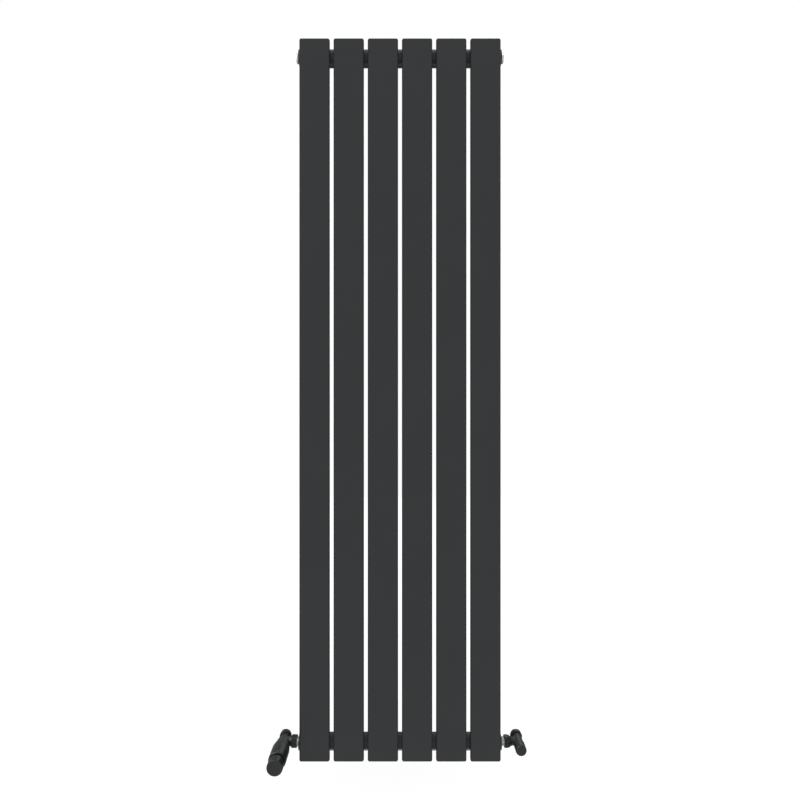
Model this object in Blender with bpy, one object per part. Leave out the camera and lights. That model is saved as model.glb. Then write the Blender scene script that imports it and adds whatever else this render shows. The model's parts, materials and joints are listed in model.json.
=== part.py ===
"""Vertical flat-panel radiator with its corner valves, plugs, air vent and wall brackets.

Metres, +Z up. The wall is the plane Y = 0 and the radiator stands in front of it, on the side of
negative Y. The origin is on the wall, halfway between the brackets and at mid-height. The
thermostatic valve is at negative X and the lockshield valve at positive X.

Pieces that face away from the wall are turned about a local Z that points out of it, so their
heights are distances from the wall. Pieces on a header are turned about a local Z that points out
of the header's end, so their heights are distances from the middle of the radiator.
"""

import math

import bmesh
import bpy
from mathutils import Vector

# ---- Radiator
HEIGHT = 1.600
PANEL_COUNT = 6
PANEL_PITCH = 0.0757
PANEL_WIDTH = 0.0672
PANEL_DEPTH = 0.011
PANEL_WALL = 0.0015
PANEL_EDGE_RADIUS = 0.0043
PORT_RADIUS = 0.006
HEADER_RADIUS = 0.0184
HEADER_WALL = 0.0016
HEADER_HALF_LENGTH = 0.2272
HEADER_INSET = 0.0292
HEADER_TO_WALL = 0.0445
COLLAR_RADIUS = 0.0095
COLLAR_TOP = HEADER_RADIUS + 0.0002

# ---- Threads and seals in the header ends
BUSH_LENGTH = 0.012
BUSH_BORE = 0.0098
THREAD_RADIUS = 0.0095
PLUG_FLANGE_RADIUS = 0.0105
PLUG_FACE = 0.233
O_RING_WIRE = 0.0007
BLEED_SCREW_RADIUS = 0.0030

# ---- Valves: their axes, and where their union nuts lie, measured from the middle of the radiator
TRV_AXIS_X = 0.2627
TRV_NUT = (0.2320, 0.2450)
LOCK_AXIS_X = 0.2665
LOCK_NUT = (0.2347, 0.2470)
UNION_NUT_FLATS = 0.0245
UNION_NUT_CORNER = 0.0134
UNION_NUT_BORE = 0.0113
TAIL_SHOULDER = 0.0026
TAIL_FLANGE = 0.0050
PIPE_BORE = 0.0077
PIPE_STOP = 0.0345
OLIVE_LENGTH = 0.0040
INLET_THREAD = 0.0096
INLET_FACE = 0.0182
INLET_NUT_LIP = 0.0035
INLET_NUT_FRONT = 0.0322
INLET_NUT_RADIUS = 0.0131
INLET_NUT_FLATS = 0.0250
BODY_FOOT = 0.0352
SEAT_HEIGHT = 0.0390
DISC_SEATED = 0.0398
GLAND_FOOT = 0.0530
CHAMBER_RADIUS = 0.0083
WATERWAY_RADIUS = 0.0055
DISC_RADIUS = 0.0070

# ---- Thermostatic head
TRV_BODY_FOOT_RADIUS = 0.0112
TRV_BODY_RADIUS = 0.0155
TRV_BODY_SHOULDER = 0.0580
TRV_BODY_TOP = 0.0612
INSERT_FLANGE = 0.0025
INSERT_NOSE = 0.0690
PIN_COLLAR_FOOT = 0.0742
PIN_TRAVEL = 0.0013
SLEEVE_FOOT_RADIUS = 0.0160
SLEEVE_FOOT = 0.0618
SLEEVE_SHOULDER = 0.0772
SLEEVE_RIM = 0.1162
SLEEVE_RADIUS = 0.0192
SLEEVE_WALL = 0.0013
KNOB_RADIUS = 0.0172
KNOB_FOOT = 0.1000
KNOB_FRONT = 0.1392
CAPSULE_FOOT = 0.0763
CAPSULE_TOP = 0.1050

# ---- Lockshield
LOCK_BODY_RADIUS = 0.0107
LOCK_NECK_RADIUS = 0.0097
LOCK_NECK_FOOT = 0.0575
LOCK_BODY_TOP = 0.0640
SPINDLE_COLLAR_FOOT = 0.0510
SPINDLE_FOOT = 0.0445
SPINDLE_NIB_RADIUS = 0.0020
LOCK_DISC_TRAVEL = 0.0016
CAP_FOOT = 0.0580
CAP_FRONT = 0.0818
CAP_RADIUS = 0.0120

# ---- Brackets
BRACKET_X = 1.5 * PANEL_PITCH
STRAP_THICKNESS = 0.0025
STRAP_WIDTH = 0.024
STRAP_FOOT = 0.066
SADDLE_THICKNESS = 0.0015
WALL_SCREW_DROPS = (0.0350, 0.0570)
WALL_SCREW_HOLE = 0.0027
WALL_SCREW_RADIUS = 0.0023

# ---- Fineness
GAP = 0.0003
MERGE = 0.000001
FINE_STEPS = 28
ROUND_STEPS = 20
SMALL_STEPS = 12
SCREW_STEPS = 10
SMOOTH_ANGLE = math.radians(35)

# ---- Worked out from the driving dimensions
HEADER_Z = HEIGHT / 2 - HEADER_INSET
PANEL_REAR = HEADER_TO_WALL + COLLAR_TOP + GAP
HEADER_BORE = HEADER_RADIUS - HEADER_WALL
PANEL_CENTRES = [(i - (PANEL_COUNT - 1) / 2) * PANEL_PITCH for i in range(PANEL_COUNT)]
OLIVE_FOOT = INLET_FACE + INLET_NUT_LIP + GAP
OLIVE_TOP = OLIVE_FOOT + OLIVE_LENGTH
INSERT_SEAT = TRV_BODY_TOP + GAP
INSERT_FLANGE_TOP = INSERT_SEAT + INSERT_FLANGE

# Base colour, metallic and roughness of each finish.
FINISHES = {
    "panel_coat": ((0.042, 0.045, 0.047), 0.0, 0.45),
    "valve_coat": ((0.036, 0.038, 0.040), 0.0, 0.40),
    "nickel": ((0.62, 0.62, 0.60), 1.0, 0.25),
    "brass": ((0.60, 0.44, 0.20), 1.0, 0.35),
    "steel": ((0.50, 0.51, 0.52), 1.0, 0.35),
    "zinc": ((0.55, 0.56, 0.58), 1.0, 0.45),
    "black_rubber": ((0.015, 0.015, 0.015), 0.0, 0.80),
    "grey_plastic": ((0.10, 0.105, 0.11), 0.0, 0.50),
}


# ---------------------------------------------------------------- shapes


def linked(name, mesh):
    obj = bpy.data.objects.new(name, mesh)
    bpy.context.scene.collection.objects.link(obj)
    return obj


def object_from(name, bm):
    """A linked object holding the bmesh, with its faces pointing outwards."""
    bmesh.ops.recalc_face_normals(bm, faces=bm.faces)
    mesh = bpy.data.meshes.new(name)
    bm.to_mesh(mesh)
    bm.free()
    return linked(name, mesh)


def turned(name, outline, steps=ROUND_STEPS):
    """The closed (radius, height) outline turned about Z. A side that lies on the axis is left out."""
    bm = bmesh.new()
    corners = [bm.verts.new((radius, 0, height)) for radius, height in outline]
    sides = [(corners[i - 1], corners[i]) for i in range(len(corners))]
    edges = [bm.edges.new(side) for side in sides if any(corner.co.x > 0 for corner in side)]
    bmesh.ops.spin(
        bm,
        geom=corners + edges,
        cent=(0, 0, 0),
        axis=(0, 0, 1),
        angle=math.tau,
        steps=steps,
        use_merge=True,
    )
    bmesh.ops.remove_doubles(bm, verts=bm.verts, dist=MERGE)
    return object_from(name, bm)


def extruded(name, outline, width):
    """The closed (y, z) outline made solid, centred on X = 0."""
    bm = bmesh.new()
    corners = [bm.verts.new((-width / 2, y, z)) for y, z in outline]
    face = bm.faces.new(corners)
    moved = bmesh.ops.extrude_face_region(bm, geom=[face])["geom"]
    sheet = [item for item in moved if isinstance(item, bmesh.types.BMVert)]
    bmesh.ops.translate(bm, verts=sheet, vec=(width, 0, 0))
    return object_from(name, bm)


def box(name, size, edge_radius=0.0, segments=1):
    """A box centred on the origin, with all its edges rounded."""
    bm = bmesh.new()
    bmesh.ops.create_cube(bm, size=1.0)
    bmesh.ops.scale(bm, vec=size, verts=bm.verts)
    if edge_radius:
        bmesh.ops.bevel(
            bm,
            geom=bm.edges[:],
            offset=edge_radius,
            segments=segments,
            profile=0.5,
            affect="EDGES",
            clamp_overlap=True,
        )
    return object_from(name, bm)


def rod(name, radius, foot, top, steps=SMALL_STEPS):
    return turned(name, [(0, foot), (radius, foot), (radius, top), (0, top)], steps)


def prism(name, flats, foot, top, sides=6):
    """A prism with the given size across its flats, about Z."""
    corner = flats / 2 / math.cos(math.pi / sides)
    return rod(name, corner, foot, top, sides)


def ring_outline(bore, radius, foot, top):
    return [(bore, foot), (radius, foot), (radius, top), (bore, top)]


def arc(centre, radius, start, end, steps):
    """Points on a circle between two angles in degrees, both included."""
    angles = [math.radians(start + (end - start) * i / steps) for i in range(steps + 1)]
    return [(centre[0] + radius * math.cos(a), centre[1] + radius * math.sin(a)) for a in angles]


def flare(foot, top, steps, power):
    """Points between two (radius, height) ends, where the radius grows as a power of the height."""
    shares = [i / steps for i in range(steps + 1)]
    swell = top[0] - foot[0]
    rise = top[1] - foot[1]
    return [(foot[0] + swell * share**power, foot[1] + rise * share) for share in shares]


def cut(blank, tools, operation="DIFFERENCE", solver="EXACT"):
    """Carries out one Boolean for each tool and leaves a plain mesh, without the tools."""
    for tool in tools:
        step = blank.modifiers.new(tool.name, "BOOLEAN")
        step.operation = operation
        step.solver = solver
        step.object = tool
    bpy.context.view_layer.update()
    graph = bpy.context.evaluated_depsgraph_get()
    mesh = bpy.data.meshes.new_from_object(blank.evaluated_get(graph))
    blank.modifiers.clear()
    blank.data = mesh
    for tool in tools:
        bpy.data.objects.remove(tool, do_unlink=True)
    return blank


# ---------------------------------------------------------------- places and finishes


def clear_scene():
    for obj in list(bpy.data.objects):
        bpy.data.objects.remove(obj, do_unlink=True)


def group(name):
    empty = bpy.data.objects.new(name, None)
    bpy.context.scene.collection.objects.link(empty)
    return empty


def finished(obj, finish):
    """Gives the object its own material and shades its round faces smooth."""
    color, metallic, roughness = FINISHES[finish]
    material = bpy.data.materials.new(obj.name)
    material.use_nodes = True
    shader = material.node_tree.nodes["Principled BSDF"]
    shader.inputs["Base Color"].default_value = (*color, 1.0)
    shader.inputs["Metallic"].default_value = metallic
    shader.inputs["Roughness"].default_value = roughness
    obj.data.materials.clear()
    obj.data.materials.append(material)
    if obj.type == "MESH":
        obj.data.shade_smooth()
        obj.data.set_sharp_from_angle(angle=SMOOTH_ANGLE)
    return obj


def put(obj, finish, parent, location, rotation=(0, 0, 0)):
    finished(obj, finish)
    obj.parent = parent
    obj.location = location
    obj.rotation_euler = rotation
    return obj


def on_valve(obj, finish, parent, axis_x):
    """Places a piece whose local Z is a lower valve's axis, out of the wall."""
    return put(obj, finish, parent, (axis_x, 0, -HEADER_Z), (math.pi / 2, 0, 0))


def on_header(obj, finish, parent, side, level):
    """Places a piece whose local Z points out of one end of a header."""
    place = (0, -HEADER_TO_WALL, level * HEADER_Z)
    return put(obj, finish, parent, place, (0, side * math.pi / 2, 0))


# ---------------------------------------------------------------- panels and headers


def panel_mesh():
    """A hollow flat tube, with a port to each header in its rear wall. Its origin is its centre."""
    size = (PANEL_WIDTH, PANEL_DEPTH, HEIGHT)
    blank = box("panel", size, PANEL_EDGE_RADIUS, 3)
    inside = [side - 2 * PANEL_WALL for side in size]
    hollow = box("hollow", inside, PANEL_EDGE_RADIUS - PANEL_WALL, 1)
    ports = []
    for level in (-1, 1):
        port = rod("port", PORT_RADIUS, 0, PANEL_DEPTH, SMALL_STEPS)
        port.location = (0, 0, level * HEADER_Z)
        port.rotation_euler = (-math.pi / 2, 0, 0)
        ports.append(port)
    panel = cut(blank, [hollow, *ports])
    mesh = panel.data
    bpy.data.objects.remove(panel, do_unlink=True)
    return mesh


def add_panels(parent):
    mesh = panel_mesh()
    centre_y = -(PANEL_REAR + PANEL_DEPTH / 2)
    for number, x in enumerate(PANEL_CENTRES, start=1):
        panel = linked(f"panel_{number}", mesh.copy())
        put(panel, "panel_coat", parent, (x, centre_y, 0))


def header(name):
    """A tube along local Z with a flat-topped collar round each port; the ports face local +X."""
    edge = 0.0012
    overrun = 0.002
    half = HEADER_HALF_LENGTH
    collars = []
    ports = []
    for x in PANEL_CENTRES:
        collar = rod("collar", COLLAR_RADIUS, HEADER_RADIUS / 2, COLLAR_TOP)
        port = rod("port", PORT_RADIUS, HEADER_RADIUS / 2, COLLAR_TOP + overrun, SMALL_STEPS)
        for tool in (collar, port):
            tool.location = (0, 0, x)
            tool.rotation_euler = (0, math.pi / 2, 0)
        collars.append(collar)
        ports.append(port)
    bore = rod("bore", HEADER_BORE, -half - overrun, half + overrun, FINE_STEPS)
    outline = [
        (0, -half),
        (HEADER_RADIUS - edge, -half),
        (HEADER_RADIUS, -half + edge),
        (HEADER_RADIUS, half - edge),
        (HEADER_RADIUS - edge, half),
        (0, half),
    ]
    solid = cut(turned(name, outline, FINE_STEPS), collars, "UNION")
    # The exact solver leaves open edges where the ports meet the flat tops of the collars.
    return cut(solid, [bore, *ports], solver="MANIFOLD")


def add_headers(parent):
    """The header's local Z lies along X, and its local X, with the ports, points out of the wall."""
    for name, level in (("header_top", 1), ("header_bottom", -1)):
        place = (0, -HEADER_TO_WALL, level * HEADER_Z)
        put(header(name), "panel_coat", parent, place, (-math.pi / 2, 0, -math.pi / 2))


def add_bushes(parent):
    """The threaded end of each header, set flush with the tube."""
    foot = HEADER_HALF_LENGTH - BUSH_LENGTH
    for row, level in (("top", 1), ("bottom", -1)):
        for end, side in (("left", -1), ("right", 1)):
            outline = ring_outline(BUSH_BORE, HEADER_BORE - GAP, foot, HEADER_HALF_LENGTH)
            bush = turned(f"bush_{row}_{end}", outline)
            on_header(bush, "panel_coat", parent, side, level)


def add_diverter(parent):
    """The baffle in the lower header, between the first panel and the others."""
    foot = abs(PANEL_CENTRES[1] + PANEL_PITCH / 2)
    thickness = 0.002
    lip = 0.006
    rim = HEADER_BORE - GAP
    outline = [
        (0, foot),
        (rim, foot),
        (rim, foot + lip),
        (rim - thickness, foot + lip),
        (rim - thickness, foot + thickness),
        (0, foot + thickness),
    ]
    on_header(turned("flow_diverter", outline), "grey_plastic", parent, -1, -1)


# ---------------------------------------------------------------- plugs in the upper header


def plug_outline(socket_radius, socket_floor):
    """A flanged plug: its threaded shank in the bush and its flange just outside the header."""
    shank_end = HEADER_HALF_LENGTH - BUSH_LENGTH + GAP
    seat = HEADER_HALF_LENGTH + 2 * O_RING_WIRE + 2 * GAP
    edge = 0.0008
    neck = THREAD_RADIUS - edge
    return [
        (0, shank_end),
        (neck, shank_end),
        (THREAD_RADIUS, shank_end + edge),
        (THREAD_RADIUS, HEADER_HALF_LENGTH - edge),
        (neck, HEADER_HALF_LENGTH),
        (neck, seat),
        (PLUG_FLANGE_RADIUS, seat),
        (PLUG_FLANGE_RADIUS, PLUG_FACE - edge),
        (PLUG_FLANGE_RADIUS - edge, PLUG_FACE),
        (socket_radius, PLUG_FACE),
        (socket_radius, socket_floor),
        (0, socket_floor),
    ]


def o_ring(name):
    centre = (PLUG_FLANGE_RADIUS - O_RING_WIRE - GAP, HEADER_HALF_LENGTH + O_RING_WIRE + GAP)
    return turned(name, arc(centre, O_RING_WIRE, 0, 288, 4))


def add_blanking_plug(parent):
    socket_flats = 0.010
    socket_depth = 0.0045
    shallow = 0.0005
    plug = turned("plug_left", plug_outline(socket_flats / 2, PLUG_FACE - shallow))
    socket = prism("socket", socket_flats, PLUG_FACE - socket_depth, PLUG_FACE + shallow)
    on_header(cut(plug, [socket]), "nickel", parent, -1, 1)
    on_header(o_ring("plug_left_o_ring"), "black_rubber", parent, -1, 1)


def add_air_vent(parent):
    """The vent plug and its bleed screw, whose flat end closes a small hole."""
    recess_radius = 0.0050
    recess_floor = PLUG_FACE - 0.0020
    bore_foot = HEADER_HALF_LENGTH - 0.006
    hole_radius = 0.0012
    screw_foot = bore_foot + GAP
    neck_radius = 0.0022
    screw_top = PLUG_FACE - 0.0004
    key_flats = 0.0045
    plug = turned("vent_plug", plug_outline(recess_radius, recess_floor))
    bore = rod("bore", BLEED_SCREW_RADIUS + GAP, bore_foot, PLUG_FACE)
    hole = rod("hole", hole_radius, HEADER_HALF_LENGTH - 2 * BUSH_LENGTH, PLUG_FACE)
    on_header(cut(plug, [bore, hole]), "nickel", parent, 1, 1)
    on_header(o_ring("vent_o_ring"), "black_rubber", parent, 1, 1)
    shank = [
        (0, screw_foot),
        (neck_radius, screw_foot),
        (neck_radius, screw_foot + 0.001),
        (BLEED_SCREW_RADIUS, screw_foot + 0.002),
        (BLEED_SCREW_RADIUS, recess_floor),
        (0, recess_floor),
    ]
    key = prism("key", key_flats, recess_floor - 0.001, screw_top, 4)
    screw = cut(turned("bleed_screw", shank), [key], "UNION")
    slot_width = 0.0010
    slot_depth = 0.0012
    slot = box("slot", (slot_width, 4 * BLEED_SCREW_RADIUS, 2 * slot_depth))
    slot.location = (0, 0, screw_top)
    on_header(cut(screw, [slot]), "brass", parent, 1, 1)


# ---------------------------------------------------------------- pieces that both valves have


def add_tail(name, parent, side, nut):
    """The tube screwed into the header; its flange is held in the union nut."""
    bore = 0.0060
    neck = 0.0091
    flange = UNION_NUT_BORE - GAP
    shoulder = nut[0] + TAIL_SHOULDER
    end = shoulder + TAIL_FLANGE
    foot = HEADER_HALF_LENGTH - BUSH_LENGTH - 0.002
    edge = 0.0008
    outline = [
        (bore, foot),
        (neck, foot),
        (THREAD_RADIUS, foot + edge),
        (THREAD_RADIUS, HEADER_HALF_LENGTH - edge),
        (neck, HEADER_HALF_LENGTH),
        (neck, shoulder),
        (flange, shoulder),
        (flange, end),
        (bore, end),
    ]
    on_header(turned(name, outline), "nickel", parent, side, -1)


def add_union_nut(name, parent, side, nut):
    """A turned nut with six flats; its lip bears on the tail's flange."""
    lip_bore = 0.0094
    lip_top = nut[0] + TAIL_SHOULDER - GAP
    edge = 0.0014
    outline = [
        (lip_bore, nut[0]),
        (UNION_NUT_CORNER - edge, nut[0]),
        (UNION_NUT_CORNER, nut[0] + edge / 2),
        (UNION_NUT_CORNER, nut[1] - edge / 2),
        (UNION_NUT_CORNER - edge, nut[1]),
        (UNION_NUT_BORE, nut[1]),
        (UNION_NUT_BORE, lip_top),
        (lip_bore, lip_top),
    ]
    hexagon = prism("hexagon", UNION_NUT_FLATS, nut[0] - edge, nut[1] + edge)
    hexagon.rotation_euler = (0, 0, math.radians(30))
    solid = cut(turned(name, outline, FINE_STEPS), [hexagon], "INTERSECT")
    on_header(solid, "valve_coat", parent, side, -1)


def add_compression_nut(name, parent, axis_x):
    """The round nut with six flats that the supply pipe enters from the wall side."""
    edge = 0.0012
    lip_top = INLET_FACE + INLET_NUT_LIP
    outline = [
        (PIPE_BORE, INLET_FACE),
        (INLET_NUT_RADIUS - edge, INLET_FACE),
        (INLET_NUT_RADIUS, INLET_FACE + edge),
        (INLET_NUT_RADIUS, INLET_NUT_FRONT - edge),
        (INLET_NUT_RADIUS - edge, INLET_NUT_FRONT),
        (INLET_THREAD + GAP, INLET_NUT_FRONT),
        (INLET_THREAD + GAP, lip_top),
        (PIPE_BORE, lip_top),
    ]
    hexagon = prism("hexagon", INLET_NUT_FLATS, INLET_FACE - edge, INLET_NUT_FRONT + edge)
    nut = cut(turned(name, outline, FINE_STEPS), [hexagon], "INTERSECT")
    on_valve(nut, "valve_coat", parent, axis_x)


def add_olive(name, parent, axis_x):
    """The ring that the nut squeezes onto the pipe, between the nut's lip and the body."""
    bulge = INLET_THREAD - 2 * GAP
    edge = bulge - 0.001
    outline = [
        (PIPE_BORE, OLIVE_FOOT),
        (edge, OLIVE_FOOT),
        (bulge, (OLIVE_FOOT + OLIVE_TOP) / 2),
        (edge, OLIVE_TOP),
        (PIPE_BORE, OLIVE_TOP),
    ]
    on_valve(turned(name, outline, SMALL_STEPS), "brass", parent, axis_x)


def valve_body(name, barrel, top, side, axis_x, nut, branch_radius):
    """The barrel's outer points, a branch to the union nut, and the waterways inside."""
    inlet_foot = OLIVE_TOP + GAP
    seat_slope = 0.0015
    outline = [
        (PIPE_BORE, inlet_foot),
        (INLET_THREAD, inlet_foot),
        (INLET_THREAD, BODY_FOOT),
        *barrel,
        (CHAMBER_RADIUS, top),
        (CHAMBER_RADIUS, SEAT_HEIGHT + seat_slope),
        (WATERWAY_RADIUS, SEAT_HEIGHT),
        (WATERWAY_RADIUS, PIPE_STOP),
        (PIPE_BORE, PIPE_STOP),
    ]
    body = turned(name, outline)
    reach = axis_x - nut[0] - TAIL_SHOULDER - TAIL_FLANGE - GAP
    mouth = axis_x - nut[1] - GAP
    thread = UNION_NUT_BORE - GAP
    wall_overlap = 0.0012
    wall_start = CHAMBER_RADIUS + wall_overlap
    branch = turned(
        "branch",
        [
            (0, wall_start),
            (branch_radius, wall_start),
            (branch_radius, (mouth + wall_start) / 2),
            (thread, mouth),
            (thread, reach),
            (0, reach),
        ],
    )
    waterway = rod("waterway", WATERWAY_RADIUS, 0, reach + GAP)
    for tool in (branch, waterway):
        tool.location = (0, 0, HEADER_TO_WALL)
        tool.rotation_euler = (0, -side * math.pi / 2, 0)
    return cut(cut(body, [branch], "UNION"), [waterway])


# ---------------------------------------------------------------- thermostatic valve


def add_trv_body(parent):
    """A body that widens from its inlet to the seat of the head."""
    branch_radius = 0.0098
    barrel = [
        (TRV_BODY_FOOT_RADIUS, BODY_FOOT),
        (TRV_BODY_RADIUS, TRV_BODY_SHOULDER),
        (TRV_BODY_RADIUS, TRV_BODY_TOP),
    ]
    body = valve_body("trv_body", barrel, TRV_BODY_TOP, -1, TRV_AXIS_X, TRV_NUT, branch_radius)
    on_valve(body, "valve_coat", parent, -TRV_AXIS_X)


def add_trv_insert(parent):
    """The headwork: a gland in the body's chamber, with a flange and a nose that guide the pin."""
    pin_bore = 0.0018
    shank = CHAMBER_RADIUS - GAP
    flange = 0.0110
    nose = 0.0065
    outline = [
        (pin_bore, GLAND_FOOT),
        (shank, GLAND_FOOT),
        (shank, INSERT_SEAT),
        (flange, INSERT_SEAT),
        (flange, INSERT_FLANGE_TOP),
        (nose, INSERT_FLANGE_TOP),
        (nose, INSERT_NOSE),
        (pin_bore, INSERT_NOSE),
    ]
    on_valve(turned("trv_insert", outline), "brass", parent, -TRV_AXIS_X)


def add_trv_pin(parent):
    """The pin, with the closing disc at its foot and the spring's collar near its tip."""
    pin = 0.0014
    disc_foot = DISC_SEATED + PIN_TRAVEL
    disc_top = disc_foot + 0.0025
    disc_edge = 0.0006
    collar = 0.0036
    collar_top = PIN_COLLAR_FOOT + 0.0010
    tip = CAPSULE_FOOT - GAP
    outline = [
        (0, disc_foot),
        (DISC_RADIUS - disc_edge, disc_foot),
        (DISC_RADIUS, disc_foot + disc_edge),
        (DISC_RADIUS, disc_top),
        (pin, disc_top),
        (pin, PIN_COLLAR_FOOT),
        (collar, PIN_COLLAR_FOOT),
        (collar, collar_top),
        (pin, collar_top),
        (pin, tip),
        (0, tip),
    ]
    on_valve(turned("trv_pin", outline, SMALL_STEPS), "steel", parent, -TRV_AXIS_X)


def add_trv_spring(parent):
    """A coil that pushes the pin's collar away from the headwork."""
    foot = INSERT_NOSE + GAP
    top = PIN_COLLAR_FOOT - GAP
    wire = 0.00035
    coil = 0.0026
    turns = 4
    steps = 8
    curve = bpy.data.curves.new("trv_spring", "CURVE")
    curve.dimensions = "3D"
    curve.bevel_depth = wire
    curve.bevel_resolution = 0
    curve.use_fill_caps = True
    spline = curve.splines.new("POLY")
    spline.points.add(turns * steps)
    rise = (top - foot - 2 * wire) / (turns * steps)
    for i, point in enumerate(spline.points):
        angle = math.tau * i / steps
        height = foot + wire + rise * i
        point.co = (coil * math.cos(angle), coil * math.sin(angle), height, 1)
    spring = linked("trv_spring", curve)
    on_valve(spring, "steel", parent, -TRV_AXIS_X)


def add_trv_capsule(parent):
    """The liquid sensor: a ribbed cup with a thrust plate on the pin."""
    ribs = 3
    rib_pitch = 0.0056
    radius = 0.0098
    groove = 0.0086
    slope = 0.0005
    plate = 0.0120
    plate_top = CAPSULE_FOOT + 0.0028
    outline = [(0, CAPSULE_FOOT), (plate, CAPSULE_FOOT), (plate, plate_top), (groove, plate_top)]
    for i in range(ribs):
        start = plate_top + (i + 0.27) * rib_pitch
        end = start + rib_pitch / 2
        outline += [(groove, start), (radius, start + slope), (radius, end), (groove, end + slope)]
    outline += [(groove, CAPSULE_TOP), (0, CAPSULE_TOP)]
    on_valve(turned("trv_sensor_capsule", outline, SMALL_STEPS), "zinc", parent, -TRV_AXIS_X)


def add_trv_ring_nut(parent):
    """The nut inside the sleeve that holds the head on its body."""
    bore = 0.0072
    radius = 0.0146
    height = 0.0060
    foot = INSERT_FLANGE_TOP + GAP
    outline = ring_outline(bore, radius, foot, foot + height)
    on_valve(turned("trv_ring_nut", outline), "nickel", parent, -TRV_AXIS_X)


def add_trv_sleeve(parent):
    """The fixed sleeve that flares from the body to its rim."""
    lip = 0.0014
    lip_step = 0.0010
    bore = SLEEVE_RADIUS - SLEEVE_WALL
    foot_bore = SLEEVE_FOOT_RADIUS - 0.0010
    flare_foot = (SLEEVE_FOOT_RADIUS, SLEEVE_FOOT)
    flare_top = (SLEEVE_RADIUS, SLEEVE_SHOULDER)
    outline = [
        (foot_bore, SLEEVE_FOOT),
        *flare(flare_foot, flare_top, 4, 0.75),
        (SLEEVE_RADIUS, SLEEVE_RIM - lip),
        (SLEEVE_RADIUS - lip_step, SLEEVE_RIM),
        (bore, SLEEVE_RIM),
        (bore, SLEEVE_SHOULDER),
        (foot_bore, (SLEEVE_FOOT + 2 * SLEEVE_SHOULDER) / 3),
    ]
    on_valve(turned("trv_sleeve", outline, FINE_STEPS), "valve_coat", parent, -TRV_AXIS_X)


def add_trv_knob(parent):
    """The turning knob, hollow at its foot to take the capsule, with a groove where it meets the rim."""
    rounding = 0.0012
    groove = KNOB_RADIUS - 0.0014
    groove_foot = SLEEVE_RIM - 0.0030
    groove_top = SLEEVE_RIM + 0.0034
    groove_slope = 0.0022
    recess = 0.0125
    recess_top = CAPSULE_TOP + 0.0030
    outline = [
        (recess, KNOB_FOOT),
        (KNOB_RADIUS, KNOB_FOOT),
        (KNOB_RADIUS, groove_foot),
        (groove, groove_foot),
        (groove, groove_top),
        (KNOB_RADIUS, groove_top + groove_slope),
        *arc((KNOB_RADIUS - rounding, KNOB_FRONT - rounding), rounding, 0, 90, 3),
        (0, KNOB_FRONT),
        (0, recess_top),
        (recess, recess_top),
    ]
    knob = turned("trv_knob", outline, FINE_STEPS)
    on_valve(knob, "valve_coat", parent, -TRV_AXIS_X)


# ---------------------------------------------------------------- lockshield valve


def add_lock_body(parent):
    """A straight body with a neck that the cap pushes onto."""
    barrel = [
        (LOCK_BODY_RADIUS, BODY_FOOT),
        (LOCK_BODY_RADIUS, LOCK_NECK_FOOT),
        (LOCK_NECK_RADIUS, LOCK_NECK_FOOT),
        (LOCK_NECK_RADIUS, LOCK_BODY_TOP),
    ]
    branch_radius = 0.0088
    body = valve_body("lock_body", barrel, LOCK_BODY_TOP, 1, LOCK_AXIS_X, LOCK_NUT, branch_radius)
    on_valve(body, "valve_coat", parent, LOCK_AXIS_X)


def add_lock_gland(parent):
    """The gland: its shank is in the body's chamber and its hexagon is under the cap."""
    bore = 0.0029
    shank = CHAMBER_RADIUS - GAP
    head = 0.0092
    seat = LOCK_BODY_TOP + GAP
    top = seat + 0.0035
    outline = [
        (bore, GLAND_FOOT),
        (shank, GLAND_FOOT),
        (shank, seat),
        (head, seat),
        (head, top),
        (bore, top),
    ]
    hexagon = prism("hexagon", 2 * CHAMBER_RADIUS, GLAND_FOOT - GAP, top + GAP)
    gland = cut(turned("lock_gland", outline), [hexagon], "INTERSECT")
    on_valve(gland, "brass", parent, LOCK_AXIS_X)


def add_lock_spindle(parent):
    """The spindle: a threaded end in the disc's hub, a collar under the gland and a square for a key."""
    shank = 0.0026
    collar = 0.0050
    collar_top = GLAND_FOOT - GAP
    square_flats = 0.0035
    square_top = 0.0715
    square_foot = square_top - 0.0025
    outline = [
        (0, SPINDLE_FOOT),
        (SPINDLE_NIB_RADIUS, SPINDLE_FOOT),
        (SPINDLE_NIB_RADIUS, SPINDLE_COLLAR_FOOT),
        (collar, SPINDLE_COLLAR_FOOT),
        (collar, collar_top),
        (shank, collar_top),
        (shank, square_foot),
        (0, square_foot),
    ]
    square = prism("square", square_flats, square_foot - 0.001, square_top, 4)
    spindle = cut(turned("lock_spindle", outline, SMALL_STEPS), [square], "UNION")
    on_valve(spindle, "brass", parent, LOCK_AXIS_X)


def add_lock_disc(parent):
    """The closing disc with a threaded hub, which the spindle drives to the seat and back."""
    edge = 0.0006
    foot = DISC_SEATED + LOCK_DISC_TRAVEL
    top = foot + 0.0020
    hub = 0.0040
    hub_top = SPINDLE_COLLAR_FOOT - LOCK_DISC_TRAVEL - GAP
    bore = SPINDLE_NIB_RADIUS + GAP
    bore_floor = SPINDLE_FOOT - LOCK_DISC_TRAVEL - GAP
    outline = [
        (0, foot),
        (DISC_RADIUS - edge, foot),
        (DISC_RADIUS, foot + edge),
        (DISC_RADIUS, top),
        (hub, top),
        (hub, hub_top),
        (bore, hub_top),
        (bore, bore_floor),
        (0, bore_floor),
    ]
    on_valve(turned("lock_disc", outline, SMALL_STEPS), "brass", parent, LOCK_AXIS_X)


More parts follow.
